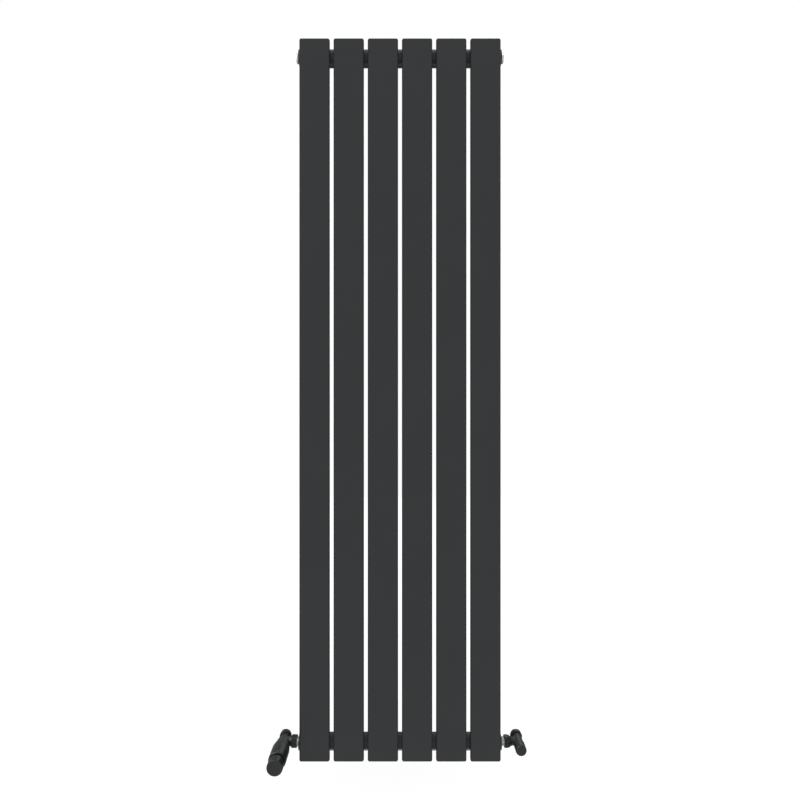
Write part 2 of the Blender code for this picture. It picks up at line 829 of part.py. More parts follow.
def add_lock_cap(parent):
    """The cap over the gland and spindle, with a rounded front edge."""
    rounding = 0.0032
    edge = 0.0004
    fillet = 0.0012
    bore = LOCK_NECK_RADIUS + GAP
    crown = CAP_FRONT - 0.0022
    outline = [
        (bore, CAP_FOOT),
        (CAP_RADIUS - edge, CAP_FOOT),
        (CAP_RADIUS, CAP_FOOT + edge),
        *arc((CAP_RADIUS - rounding, CAP_FRONT - rounding), rounding, 0, 90, 3),
        (0, CAP_FRONT),
        (0, crown),
        (bore - fillet, crown),
        (bore, crown - fillet),
    ]
    on_valve(turned("lock_cap", outline, FINE_STEPS), "valve_coat", parent, LOCK_AXIS_X)


# ---------------------------------------------------------------- brackets


def strap_outline():
    """A bent strap seen from its side: down the wall, out under the header and up in front of it."""
    seat = HEADER_RADIUS + SADDLE_THICKNESS + 2 * GAP
    outer = seat + STRAP_THICKNESS
    bend = 0.006
    bend_centre = (bend, -seat - bend)
    lip_angle = 38
    axis = (HEADER_TO_WALL, 0)
    upper = [(0, -STRAP_FOOT)]
    upper += arc(bend_centre, bend, 180, 90, 4)
    upper += arc(axis, seat, 270, 270 + lip_angle, 4)
    lower = arc(axis, outer, 270 + lip_angle, 270, 4)
    lower += arc(bend_centre, bend - STRAP_THICKNESS, 90, 180, 4)
    lower += [(STRAP_THICKNESS, -STRAP_FOOT)]
    return [(-distance, height) for distance, height in upper + lower]


def strap_mesh():
    strap = extruded("strap", strap_outline(), STRAP_WIDTH)
    holes = []
    for drop in WALL_SCREW_DROPS:
        hole = rod("hole", WALL_SCREW_HOLE, -STRAP_THICKNESS, 2 * STRAP_THICKNESS)
        hole.location = (0, 0, -drop)
        hole.rotation_euler = (math.pi / 2, 0, 0)
        holes.append(hole)
    strap = cut(strap, holes)
    mesh = strap.data
    bpy.data.objects.remove(strap, do_unlink=True)
    return mesh


def saddle_outline():
    """A plastic seat: a round trough for the header, open at the top, on the strap's outline."""
    trough = HEADER_RADIUS + GAP
    outer = trough + SADDLE_THICKNESS
    axis = (HEADER_TO_WALL, 0)
    front_angle = 34
    rear_angle = 62
    underside = arc(axis, outer, 270, 270 + front_angle, 4)
    inside = arc(axis, trough, 270 + front_angle, 270 - rear_angle, 10)
    rear = HEADER_TO_WALL - outer
    outline = [(rear, -outer), *underside, *inside, (rear, inside[-1][1])]
    return [(-distance, height) for distance, height in outline]


def screw_outline():
    """A pan-head screw as far as the wall's face."""
    head = 0.0046
    crown = 0.0032
    head_foot = STRAP_THICKNESS + GAP
    rim = head_foot + 0.0010
    head_top = head_foot + 0.0030
    return [
        (0, 0),
        (WALL_SCREW_RADIUS, 0),
        (WALL_SCREW_RADIUS, head_foot),
        (head, head_foot),
        (head, rim),
        (crown, head_top),
        (0, head_top),
    ]


def add_brackets(parent):
    """The upper straps carry their header from below; the lower ones are turned over and hook it down."""
    mesh = strap_mesh()
    for row, level in (("top", 1), ("bottom", -1)):
        turn = (0, 0 if level > 0 else math.pi, 0)
        for end, side in (("left", -1), ("right", 1)):
            name = f"bracket_{row}_{end}"
            place = Vector((side * BRACKET_X, 0, level * HEADER_Z))
            put(linked(name, mesh.copy()), "zinc", parent, place, turn)
            saddle = extruded(f"{name}_saddle", saddle_outline(), STRAP_WIDTH)
            put(saddle, "grey_plastic", parent, place, turn)
            for number, drop in enumerate(WALL_SCREW_DROPS, start=1):
                screw = turned(f"{name}_screw_{number}", screw_outline(), SCREW_STEPS)
                screw_place = place - Vector((0, 0, level * drop))
                put(screw, "steel", parent, screw_place, (math.pi / 2, 0, 0))


# ---------------------------------------------------------------- the whole object


def build():
    clear_scene()
    radiator = group("radiator")
    add_panels(radiator)
    add_headers(radiator)
    add_bushes(radiator)
    add_diverter(radiator)
    add_blanking_plug(radiator)
    add_air_vent(radiator)

    trv = group("thermostatic_valve")
    add_tail("trv_tail", trv, -1, TRV_NUT)
    add_union_nut("trv_union_nut", trv, -1, TRV_NUT)
    add_trv_body(trv)
    add_compression_nut("trv_compression_nut", trv, -TRV_AXIS_X)
    add_olive("trv_olive", trv, -TRV_AXIS_X)
    add_trv_insert(trv)
    add_trv_pin(trv)
    add_trv_spring(trv)
    add_trv_capsule(trv)
    add_trv_ring_nut(trv)
    add_trv_sleeve(trv)
    add_trv_knob(trv)

    lockshield = group("lockshield_valve")
    add_tail("lock_tail", lockshield, 1, LOCK_NUT)
    add_union_nut("lock_union_nut", lockshield, 1, LOCK_NUT)
    add_lock_body(lockshield)
    add_compression_nut("lock_compression_nut", lockshield, LOCK_AXIS_X)
    add_olive("lock_olive", lockshield, LOCK_AXIS_X)
    add_lock_gland(lockshield)
    add_lock_spindle(lockshield)
    add_lock_disc(lockshield)
    add_lock_cap(lockshield)

    add_brackets(group("brackets"))


build()
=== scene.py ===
"""The looks of the vertical radiator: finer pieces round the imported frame, finishes, light and camera.

Metres, +Z up. The wall is the plane Y = 0 and the radiator stands in front of it, towards -Y.
Pieces that face away from the wall are made about a local Z that points out of it, so their heights
are distances from the wall. Pieces on a header are made about a local Z that points out of the
header's end, so their heights are distances from the middle of the radiator.
"""

import json
import math

import bmesh
import bpy
from mathutils import Matrix, Vector

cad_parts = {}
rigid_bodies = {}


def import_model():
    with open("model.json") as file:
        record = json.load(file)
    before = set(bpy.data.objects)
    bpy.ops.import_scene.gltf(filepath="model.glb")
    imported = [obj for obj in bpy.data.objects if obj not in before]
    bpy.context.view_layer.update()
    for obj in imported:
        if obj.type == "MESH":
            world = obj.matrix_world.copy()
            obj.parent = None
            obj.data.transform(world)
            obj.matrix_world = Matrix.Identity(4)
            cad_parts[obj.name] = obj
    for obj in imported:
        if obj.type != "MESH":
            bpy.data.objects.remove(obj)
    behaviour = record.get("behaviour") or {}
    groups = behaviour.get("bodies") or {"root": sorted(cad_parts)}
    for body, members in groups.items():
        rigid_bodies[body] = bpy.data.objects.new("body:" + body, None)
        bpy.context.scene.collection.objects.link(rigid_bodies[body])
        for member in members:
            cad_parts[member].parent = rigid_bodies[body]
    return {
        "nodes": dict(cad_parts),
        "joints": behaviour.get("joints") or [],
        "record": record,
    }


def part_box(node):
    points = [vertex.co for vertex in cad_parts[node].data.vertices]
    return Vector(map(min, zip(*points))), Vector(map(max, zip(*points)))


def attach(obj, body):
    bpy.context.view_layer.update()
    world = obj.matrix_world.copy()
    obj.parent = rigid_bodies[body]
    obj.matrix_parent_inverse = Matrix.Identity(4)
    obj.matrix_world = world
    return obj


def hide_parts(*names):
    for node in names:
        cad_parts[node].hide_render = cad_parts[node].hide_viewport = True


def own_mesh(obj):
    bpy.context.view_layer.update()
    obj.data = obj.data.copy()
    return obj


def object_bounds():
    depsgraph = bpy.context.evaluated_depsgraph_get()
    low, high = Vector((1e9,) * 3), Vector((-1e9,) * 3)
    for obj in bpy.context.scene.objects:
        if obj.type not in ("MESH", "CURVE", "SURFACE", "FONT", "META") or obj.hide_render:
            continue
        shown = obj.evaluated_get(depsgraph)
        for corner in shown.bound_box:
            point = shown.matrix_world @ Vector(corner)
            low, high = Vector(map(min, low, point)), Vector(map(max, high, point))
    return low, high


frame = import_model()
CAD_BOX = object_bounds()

ROWS = {"top": 1, "bottom": -1}
ENDS = (("left", -1), ("right", 1))
PANELS = range(1, 7)


# ---------------------------------------------------------------- what the frame says


def centre(node):
    low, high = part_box(node)
    return (low + high) / 2


def from_wall(node):
    """(radius, foot, top) of a round piece on a valve's axis, as distances from the wall."""
    low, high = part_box(node)
    return (high.x - low.x) / 2, -high.y, -low.y


def from_middle(node):
    """(radius, foot, top) of a round piece on a header's axis, as distances from the middle."""
    low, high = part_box(node)
    near, far = sorted((abs(low.x), abs(high.x)))
    return (high.z - low.z) / 2, near, far


def joint_named(name):
    return next(joint for joint in frame["joints"] if joint["name"] == name)


GAP = 0.0003
HEADER_Y = centre("header_top").y
HEADER_Z = centre("header_top").z
HEADER_RADIUS = HEADER_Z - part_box("header_top")[0].z
HEADER_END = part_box("header_top")[1].x
HEADER_BORE = from_middle("bush_top_left")[0] + GAP
VALVE_Z = centre("trv_knob").z
TRV_X = centre("trv_knob").x
LOCK_X = centre("lock_cap").x
PANEL_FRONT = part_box("panel_1")[0].y
PANEL_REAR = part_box("panel_1")[1].y

# ---- Where the cast barrel of both valves starts, as a distance from the wall
BODY_FOOT = 0.0352

# ---- Fineness
STEPS = 96
NUT_STEPS = 144
DRILL_STEPS = 48
ON_AXIS = 0.000001
SMOOTH_ANGLE = math.radians(40)


# ---------------------------------------------------------------- shapes


def linked(name, data):
    obj = bpy.data.objects.new(name, data)
    bpy.context.scene.collection.objects.link(obj)
    return obj


def object_from(name, bm):
    """A linked object holding the bmesh, with its faces pointing outwards and its round faces smooth."""
    bmesh.ops.recalc_face_normals(bm, faces=bm.faces)
    mesh = bpy.data.meshes.new(name)
    bm.to_mesh(mesh)
    bm.free()
    mesh.shade_smooth()
    mesh.set_sharp_from_angle(angle=SMOOTH_ANGLE)
    return linked(name, mesh)


def softened(corners, pieces=4):
    """A closed outline of (radius, height, rounding) corners, each rounded off."""
    points = []
    for i, (radius, height, rounding) in enumerate(corners):
        corner = Vector((radius, height))
        if not rounding:
            points.append((radius, height))
            continue
        before = Vector(corners[i - 1][:2]) - corner
        after = Vector(corners[(i + 1) % len(corners)][:2]) - corner
        start = corner + before.normalized() * min(rounding, before.length / 2)
        end = corner + after.normalized() * min(rounding, after.length / 2)
        for k in range(pieces + 1):
            t = k / pieces
            points.append(tuple(start * (1 - t) ** 2 + corner * 2 * t * (1 - t) + end * t * t))
    return points


def resampled(outline, spacing):
    """The closed outline with its long sides divided, so that a shape can bend them."""
    points = []
    for i, (radius, height) in enumerate(outline):
        start = Vector((radius, height))
        end = Vector(outline[(i + 1) % len(outline)])
        both_on_axis = max(start.x, end.x) < ON_AXIS
        pieces = 1 if both_on_axis else max(1, math.ceil((end - start).length / spacing))
        points += [tuple(start.lerp(end, k / pieces)) for k in range(pieces)]
    return points


def bridge(bm, lower, upper):
    """Adds the faces between two closed rings that have as many corners."""
    for i in range(len(lower)):
        j = (i + 1) % len(lower)
        bm.faces.new((lower[i], lower[j], upper[j], upper[i]))


def lathe(name, outline, steps=STEPS, shape=None):
    """The closed (radius, height) outline turned about Z. The shape may change each radius."""
    bm = bmesh.new()
    rings = []
    for radius, height in outline:
        count = 1 if radius < ON_AXIS else steps
        ring = []
        for i in range(count):
            angle = math.tau * i / steps
            reach = shape(radius, angle, height) if shape and count > 1 else radius
            place = (reach * math.cos(angle), reach * math.sin(angle), height)
            ring.append(bm.verts.new(place))
        rings.append(ring)
    for lower, upper in zip(rings, rings[1:] + rings[:1]):
        if len(lower) == len(upper) == 1:
            continue
        for i in range(steps):
            j = i + 1
            corners = [lower[i % len(lower)], lower[j % len(lower)]]
            corners += [upper[j % len(upper)], upper[i % len(upper)]]
            bm.faces.new(list(dict.fromkeys(corners)))
    return object_from(name, bm)


def flat_reach(flats, sides, angle):
    """How far out a flat lies at an angle, on a bar whose first flat faces the angle 0."""
    half = math.pi / sides
    off = (angle + half) % (2 * half) - half
    return flats / 2 / math.cos(off)


def hexagon(flats, turn=0.0):
    """A shape for lathe: six flats, the first facing the angle turn, with soft edges."""
    sharpness = 110

    def shape(radius, angle, height):
        flat = flat_reach(flats, 6, angle - turn)
        return (radius**-sharpness + flat**-sharpness) ** (-1 / sharpness)

    return shape


def thread(foot, top, pitch, depth, least_radius):
    """A shape for lathe: a screw thread on the surfaces outside the least radius."""

    def shape(radius, angle, height):
        if radius < least_radius:
            return radius
        run_out = min(height - foot, top - height) / pitch
        wave = 0.5 - 0.5 * math.cos(math.tau * height / pitch - angle)
        return radius - depth * min(1.0, max(0.0, run_out)) * wave

    return shape


def rod(name, radius, foot, top, steps=STEPS):
    return lathe(name, [(0, foot), (radius, foot), (radius, top), (0, top)], steps)


def extruded(name, outline, width, edge):
    """The closed (y, z) outline made solid about X = 0, with the edges of its two sides rounded."""
    bm = bmesh.new()
    corners = [bm.verts.new((-width / 2, y, z)) for y, z in outline]
    face = bm.faces.new(corners)
    moved = bmesh.ops.extrude_face_region(bm, geom=[face])["geom"]
    sheet = [item for item in moved if isinstance(item, bmesh.types.BMVert)]
    bmesh.ops.translate(bm, verts=sheet, vec=(width, 0, 0))
    rims = [side for side in bm.edges if abs(side.verts[0].co.x - side.verts[1].co.x) < ON_AXIS]
    bmesh.ops.bevel(bm, geom=rims, offset=edge, segments=2, profile=0.5, affect="EDGES")
    return object_from(name, bm)


def block(bm, size, middle):
    """Adds a box about its middle and returns its corners."""
    corners = bmesh.ops.create_cube(bm, size=1.0)["verts"]
    bmesh.ops.scale(bm, vec=size, verts=corners)
    bmesh.ops.translate(bm, vec=middle, verts=corners)
    return corners


def rounded_box(bm, low, high, radius, segments):
    """Adds a box whose edges and corners are all rounded."""
    corners = block(bm, high - low, (low + high) / 2)
    sides = list(dict.fromkeys(side for corner in corners for side in corner.link_edges))
    settings = {"segments": segments, "profile": 0.5, "affect": "EDGES", "clamp_overlap": True}
    bmesh.ops.bevel(bm, geom=sides, offset=radius, **settings)


def arc(middle, radius, start, end, steps):
    """Points on a circle between two angles in degrees, both included."""
    angles = [math.radians(start + (end - start) * i / steps) for i in range(steps + 1)]
    return [(middle[0] + radius * math.cos(a), middle[1] + radius * math.sin(a)) for a in angles]


def applied(obj):
    """Leaves a plain mesh with the object's modifiers carried out."""
    bpy.context.view_layer.update()
    graph = bpy.context.evaluated_depsgraph_get()
    mesh = bpy.data.meshes.new_from_object(obj.evaluated_get(graph))
    obj.modifiers.clear()
    obj.data = mesh
    return obj


def joined(name, pieces):
    """One object from several, which are removed."""
    bm = bmesh.new()
    for part in pieces:
        bm.from_mesh(part.data)
        bpy.data.objects.remove(part, do_unlink=True)
    mesh = bpy.data.meshes.new(name)
    bm.to_mesh(mesh)
    bm.free()
    return linked(name, mesh)


def cut(blank, tools, operation="DIFFERENCE"):
    for tool in tools:
        step = blank.modifiers.new(tool.name, "BOOLEAN")
        step.operation = operation
        step.solver = "EXACT"
        step.object = tool
    applied(blank)
    for tool in tools:
        bpy.data.objects.remove(tool, do_unlink=True)
    blank.data.shade_smooth()
    blank.data.set_sharp_from_angle(angle=SMOOTH_ANGLE)
    return blank


def cast(obj, grain, passes):
    """Turns hard joins into the soft hollows of a casting."""
    remesh = obj.modifiers.new("remesh", "REMESH")
    remesh.mode = "VOXEL"
    remesh.voxel_size = grain
    smooth = obj.modifiers.new("smooth", "SMOOTH")
    smooth.factor = 0.5
    smooth.iterations = passes
    applied(obj)
    obj.data.shade_smooth()
    return obj


# ---------------------------------------------------------------- places


def on_valve(obj, x):
    obj.data.transform(Matrix.Translation((x, 0, VALVE_Z)) @ Matrix.Rotation(math.pi / 2, 4, "X"))
    return obj


def on_header(obj, side, row):
    place = Matrix.Translation((0, HEADER_Y, ROWS[row] * HEADER_Z))
    obj.data.transform(place @ Matrix.Rotation(side * math.pi / 2, 4, "Y"))
    return obj


def shown(obj, finish, slot, body, *nodes):
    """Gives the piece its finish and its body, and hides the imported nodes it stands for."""
    obj.data.materials.clear()
    obj.data.materials.append(FINISHES[finish])
    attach(obj, body)
    if nodes:
        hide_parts(*nodes)
    return obj


# ---------------------------------------------------------------- finishes


def add(tree, kind, settings=(), inputs=()):
    """A new node. An input that is a socket is linked, and any other is set."""
    made = tree.nodes.new(kind)
    for key, value in dict(settings).items():
        setattr(made, key, value)
    for key, value in dict(inputs).items():
        if isinstance(value, bpy.types.NodeSocket):
            tree.links.new(value, made.inputs[key])
        else:
            made.inputs[key].default_value = value
    return made


def noise(tree, scale, detail=3.0, stretch=None):
    """A noise value from 0 to 1 in the object's own space, with the scale in cells to a metre."""
    place = add(tree, "ShaderNodeTexCoord").outputs["Object"]
    if stretch:
        place = add(tree, "ShaderNodeMapping", inputs={"Vector": place, "Scale": stretch}).outputs[0]
    inputs = {"Vector": place, "Scale": scale, "Detail": detail, "Roughness": 0.55}
    return add(tree, "ShaderNodeTexNoise", inputs=inputs).outputs[0]


def ranged(tree, value, low, high, start=0.3, end=0.7):
    inputs = {"Value": value, "From Min": start, "From Max": end, "To Min": low, "To Max": high}
    return add(tree, "ShaderNodeMapRange", inputs=inputs).outputs[0]


def times(tree, first, second):
    made = add(tree, "ShaderNodeMath", {"operation": "MULTIPLY"}, {0: first, 1: second})
    return made.outputs[0]


def mixed(tree, factor, first, second):
    made = add(tree, "ShaderNodeMix", {"data_type": "RGBA"}, {0: factor, 6: first, 7: second})
    return made.outputs[2]


def edges(tree, reach):
    """A mask that is 1 on convex and concave edges, and 0 on flat and gently curved faces."""
    soft = add(tree, "ShaderNodeBevel", {"samples": 4}, {"Radius": reach}).outputs[0]
    hard = add(tree, "ShaderNodeNewGeometry").outputs["Normal"]
    alike = add(tree, "ShaderNodeVectorMath", {"operation": "DOT_PRODUCT"}, {0: soft, 1: hard})
    sharp, flat = 0.80, 0.995
    return ranged(tree, alike.outputs["Value"], 1.0, 0.0, sharp, flat)


def color(value):
    return (*value, 1.0)


def surface(name, base, cloud, rough, bumps, edge_wear_and_shade, metallic=0.0, **gloss):
    """A painted, plated or moulded finish.

    base: two colours that slow clouds blend. cloud: cells to a metre. rough: lowest and highest.
    bumps: (cells to a metre, height in metres, stretch) of each relief, coarse first.
    edge_wear_and_shade: (colour, share, reach) of what shows on the edges: wear on most finishes, painted
    shade on the panel and weld coats. gloss: constant shader inputs.
    """
    material = bpy.data.materials.new(name)
    material.use_nodes = True
    tree = material.node_tree
    shader = tree.nodes["Principled BSDF"]
    wear_and_shade_cells = 320
    streaks_to_clouds = 3.1
    relief_strength = 0.8
    clouds = ranged(tree, noise(tree, cloud), 0.0, 1.0)
    paint = mixed(tree, clouds, color(base[0]), color(base[1]))
    # On most finishes the edge colour is wear; on the panel and weld coats it is darker than the base, a
    # painted shade.
    wear_and_shade_color, share, reach = edge_wear_and_shade
    broken = ranged(tree, noise(tree, wear_and_shade_cells, 4.0), 0.35, 1.0)
    wear_and_shade_mask = times(tree, times(tree, edges(tree, reach), broken), share)
    tree.links.new(mixed(tree, wear_and_shade_mask, paint, color(wear_and_shade_color)), shader.inputs["Base Color"])
    streaks = ranged(tree, noise(tree, streaks_to_clouds * cloud, 5.0), *rough)
    tree.links.new(streaks, shader.inputs["Roughness"])
    normal = None
    for cells, height, stretch in bumps:
        relief = noise(tree, cells, 2.0, stretch)
        inputs = {"Strength": relief_strength, "Distance": height, "Height": relief}
        if normal:
            inputs["Normal"] = normal
        normal = add(tree, "ShaderNodeBump", inputs=inputs).outputs[0]
    tree.links.new(normal, shader.inputs["Normal"])
    shader.inputs["Metallic"].default_value = metallic
    for key, value in gloss.items():
        shader.inputs[key.replace("_", " ")].default_value = value
    return material


PEEL = [(260, 0.000030, None), (1100, 0.000016, None)]
TURNED = [(900, 0.000006, (1, 14, 1)), (2600, 0.000004, None)]


def panel_coat():
    """Satin powder coat: orange peel, and painted shade on the rounded edges, which take a darker colour
    than the faces.
    """
    base = ((0.0340, 0.0374, 0.0394), (0.0366, 0.0400, 0.0420))
    # Painted shade: the edge colour is darker than the coat, so the rounded edges look shaded.
    edge_wear_and_shade = ((0.030, 0.032, 0.033), 0.35, 0.0012)
    return surface("panel_coat", base, 7, (0.40, 0.47), PEEL, edge_wear_and_shade, Specular_IOR_Level=0.42)


def weld_coat():
    """The same coat over a weld, where it lies thicker and rougher."""
    base = ((0.0320, 0.0352, 0.0370), (0.0380, 0.0412, 0.0430))
    bumps = [(420, 0.000120, None), (1300, 0.000030, None)]
    # Painted shade: the edge colour is darker than the coat, as on the panels.
    edge_wear_and_shade = ((0.030, 0.032, 0.033), 0.25, 0.0008)
    return surface("weld_coat", base, 60, (0.42, 0.55), bumps, edge_wear_and_shade, Specular_IOR_Level=0.42)


def valve_coat():
    """Lacquer on turned and cast brass, with the metal just showing through on sharp corners."""
    base = ((0.0110, 0.0122, 0.0128), (0.0128, 0.0140, 0.0146))
    bumps = [(350, 0.000030, None), (1500, 0.000010, None)]
    edge_wear_and_shade = ((0.060, 0.060, 0.056), 0.30, 0.0006)
    return surface("valve_coat", base, 30, (0.30, 0.38), bumps, edge_wear_and_shade, Specular_IOR_Level=0.4)


def cast_coat():
    """The same lacquer on the rougher skin of a casting, with a lighter base than the nuts': painted
    light on the body.
    """
    # Painted light: the base is lighter than valve_coat's, so the body shows as lit.
    base = ((0.0185, 0.0203, 0.0212), (0.0212, 0.0231, 0.0240))
    bumps = [(280, 0.000110, None), (1400, 0.000030, None)]
    edge_wear_and_shade = ((0.050, 0.050, 0.047), 0.20, 0.0006)
    return surface("cast_coat", base, 40, (0.36, 0.46), bumps, edge_wear_and_shade, Specular_IOR_Level=0.5)


def head_plastic():
    """Moulded plastic in the valves' colour, with a fine spark-eroded grain."""
    base = ((0.0138, 0.0152, 0.0158), (0.0156, 0.0170, 0.0176))
    bumps = [(900, 0.000020, None), (3200, 0.000012, None)]
    edge_wear_and_shade = ((0.036, 0.038, 0.039), 0.40, 0.0006)
    return surface("head_plastic", base, 25, (0.34, 0.42), bumps, edge_wear_and_shade, Specular_IOR_Level=0.5)


def pale_print():
    """The ink of the knob's numbers and of the sleeve's mark."""
    base = ((0.110, 0.114, 0.116), (0.140, 0.144, 0.146))
    edge_wear_and_shade = ((0.060, 0.062, 0.063), 0.30, 0.0002)
    return surface("pale_print", base, 400, (0.45, 0.60), [(2500, 0.000008, None)], edge_wear_and_shade)


def nickel():
    base = ((0.760, 0.760, 0.750), (0.840, 0.835, 0.820))
    edge_wear_and_shade = ((0.900, 0.895, 0.880), 0.50, 0.0004)
    return surface("nickel", base, 90, (0.16, 0.30), TURNED, edge_wear_and_shade, 1.0)


def brass():
    base = ((0.540, 0.385, 0.160), (0.640, 0.470, 0.215))
    edge_wear_and_shade = ((0.760, 0.600, 0.330), 0.50, 0.0004)
    return surface("brass", base, 110, (0.24, 0.40), TURNED, edge_wear_and_shade, 1.0)


def steel():
    base = ((0.430, 0.440, 0.450), (0.530, 0.535, 0.540))
    edge_wear_and_shade = ((0.680, 0.680, 0.680), 0.50, 0.0004)
    return surface("steel", base, 120, (0.28, 0.42), TURNED, edge_wear_and_shade, 1.0)


def zinc():
    """Zinc plate, cloudy, with faint rolling marks."""
    base = ((0.440, 0.450, 0.465), (0.600, 0.605, 0.610))
    bumps = [(140, 0.000040, (1, 1, 9)), (1200, 0.000012, None)]
    edge_wear_and_shade = ((0.740, 0.740, 0.740), 0.55, 0.0005)
    return surface("zinc", base, 70, (0.34, 0.52), bumps, edge_wear_and_shade, 1.0)


def black_rubber():
    base = ((0.012, 0.012, 0.012), (0.022, 0.022, 0.021))
    edge_wear_and_shade = ((0.050, 0.050, 0.048), 0.25, 0.0003)
    return surface("black_rubber", base, 200, (0.60, 0.78), [(1400, 0.00003, None)], edge_wear_and_shade)


def grey_plastic():
    base = ((0.090, 0.094, 0.098), (0.112, 0.117, 0.121))
    bumps = [(600, 0.000030, None), (2600, 0.000014, None)]
    edge_wear_and_shade = ((0.170, 0.175, 0.180), 0.45, 0.0006)
    return surface("grey_plastic", base, 60, (0.42, 0.55), bumps, edge_wear_and_shade)


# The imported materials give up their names, which the finishes take.
for packed in list(bpy.data.materials):
    packed.name = f"packed_{packed.name}"
MAKERS = (panel_coat, weld_coat, valve_coat, cast_coat, head_plastic, pale_print)
MAKERS += (nickel, brass, steel, zinc, black_rubber, grey_plastic)
FINISHES = {finish.name: finish for finish in (maker() for maker in MAKERS)}


def finish_nodes():
    """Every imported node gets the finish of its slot; finer pieces then stand for most of them."""
    slots = {row["node"]: row["material_slot"] for row in frame["record"]["subparts"]}
    for name, node in frame["nodes"].items():
        node.data.materials.clear()
        node.data.materials.append(FINISHES[slots[name]])


# ---------------------------------------------------------------- panels and headers


def add_seam(bm, x, low, high):
    """A ground weld along the tube's rear face: a low ridge with a round top."""
    half_width = 0.0014
    height = 0.00022
    end = 0.010
    buried = 0.0002
    points = 8
    rings = []
    for z in (low.z + end, high.z - end):
        ring = []
        for i in range(points + 1):
            share = i / points
            y = high.y - buried + (height + buried) * math.sin(math.pi * share)
            ring.append(bm.verts.new((x + half_width * (2 * share - 1), y, z)))
        rings.append(ring)
    lower, upper = rings
    for i in range(points):
        bm.faces.new((lower[i], lower[i + 1], upper[i + 1], upper[i]))
    bm.faces.new((lower[0], upper[0], upper[-1], lower[-1]))
    bm.faces.new(lower)
    bm.faces.new(upper)


def add_panels():
    edge_radius = 0.0043
    seam_offset = 0.017
    for number in PANELS:
        low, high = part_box(f"panel_{number}")
        bm = bmesh.new()
        rounded_box(bm, low, high, edge_radius, 8)
        add_seam(bm, (low.x + high.x) / 2 + seam_offset, low, high)
        panel = object_from(f"flat_tube_{number}", bm)
        shown(panel, "panel_coat", "panel_coat", "radiator", f"panel_{number}")


def header_tube(name):
    """The tube with rounded ends and a faint weld seam along its top."""
    half = HEADER_END
    edge = 0.0006
    seam_angle = math.radians(200)
    seam_width = math.radians(4)
    seam_height = 0.00018

    def seam(radius, angle, height):
        if radius < HEADER_RADIUS - edge / 2 or abs(height) > half - 2 * edge:
            return radius
        off = (angle - seam_angle + math.pi) % math.tau - math.pi
        return radius + seam_height * math.exp(-((off / seam_width) ** 2))

    corners = [
        (HEADER_BORE, -half, 0.0),
        (HEADER_RADIUS, -half, edge),
        (HEADER_RADIUS, half, edge),
        (HEADER_BORE, half, 0.0),
    ]
    return lathe(name, resampled(softened(corners), 0.02), STEPS * 2, seam)


def add_headers():
    for row in ROWS:
        tube = on_header(header_tube(f"header_tube_{row}"), 1, row)
        shown(tube, "panel_coat", "panel_coat", "radiator", f"header_{row}")


def weld_bead(name, x, z):
    """The fillet weld round a port, which fills the space between the round tube and the flat panel."""
    turns = 120
    sides = 14
    ring = 0.0098
    swell = 0.0007
    ripples = 30
    ripple_share = 0.22
    bm = bmesh.new()
    rings = []
    for i in range(turns):
        around = math.tau * i / turns
        drop = ring * math.sin(around)
        tube_face = HEADER_Y - math.sqrt(HEADER_RADIUS**2 - drop**2)
        middle = (tube_face + PANEL_REAR) / 2
        size = (tube_face - PANEL_REAR) / 2 + swell * (1 + ripple_share * math.sin(ripples * around))
        circle = []
        for k in range(sides):
            turn = math.tau * k / sides
            reach = ring + size * math.cos(turn)
            place = (
                x + reach * math.cos(around),
                middle + size * math.sin(turn),
                z + reach * math.sin(around),
            )
            circle.append(bm.verts.new(place))
        rings.append(circle)
    for first, second in zip(rings, rings[1:] + rings[:1]):
        bridge(bm, first, second)
    return object_from(name, bm)


def add_welds():
    for row, level in ROWS.items():
        for number in PANELS:
            x = centre(f"panel_{number}").x
            bead = weld_bead(f"weld_bead_{row}_{number}", x, level * HEADER_Z)
            shown(bead, "weld_coat", "panel_coat", "radiator")


def add_header_ends():
    """The bush in each end of a header, welded in flush and coated with it."""
    bore = 0.0098
    proud = 0.00015
    lip = 0.0007
    for row in ROWS:
        for end, side in ENDS:
            node = f"bush_{row}_{end}"
            foot = from_middle(node)[1]
            corners = [
                (bore, foot, 0.0),
                (HEADER_BORE - GAP, foot, 0.0),
                (HEADER_BORE - GAP, HEADER_END, 0.0),
                (HEADER_RADIUS - lip, HEADER_END - proud, 0.0),
                (HEADER_RADIUS - lip, HEADER_END + proud, 0.0002),
                (bore, HEADER_END + proud, 0.0004),
            ]
            bush = lathe(f"threaded_end_{row}_{end}", softened(corners))
            shown(on_header(bush, side, row), "weld_coat", "panel_coat", "radiator", node)


# ---------------------------------------------------------------- plugs in the upper header


def plug_corners(node, recess, floor):
    """A flanged plug with soft machined edges, and a round recess in its face."""
    radius, foot, face = from_middle(node)
    shank = 0.0095
    neck = 0.0087
    bevel = 0.0008
    seat = HEADER_END + 0.0020
    return [
        (0, foot, 0.0),
        (neck, foot, 0.0),
        (shank, foot + bevel, 0.0),
        (shank, HEADER_END - bevel, 0.0),
        (neck, HEADER_END, 0.0),
        (neck, seat, 0.0),
        (radius, seat, 0.0003),
        (radius, face, 0.0010),
        (recess, face, 0.0003),
        (recess, floor, 0.0002),
        (0, floor, 0.0),
    ]


def add_o_ring(name, node, side):
    radius, foot, top = from_middle(node)
    wire = (top - foot) / 2
    outline = arc((radius - wire, (foot + top) / 2), wire, 0, 345, 23)
    ring = on_header(lathe(name, outline), side, "top")
    shown(ring, "black_rubber", "black_rubber", "radiator", node)


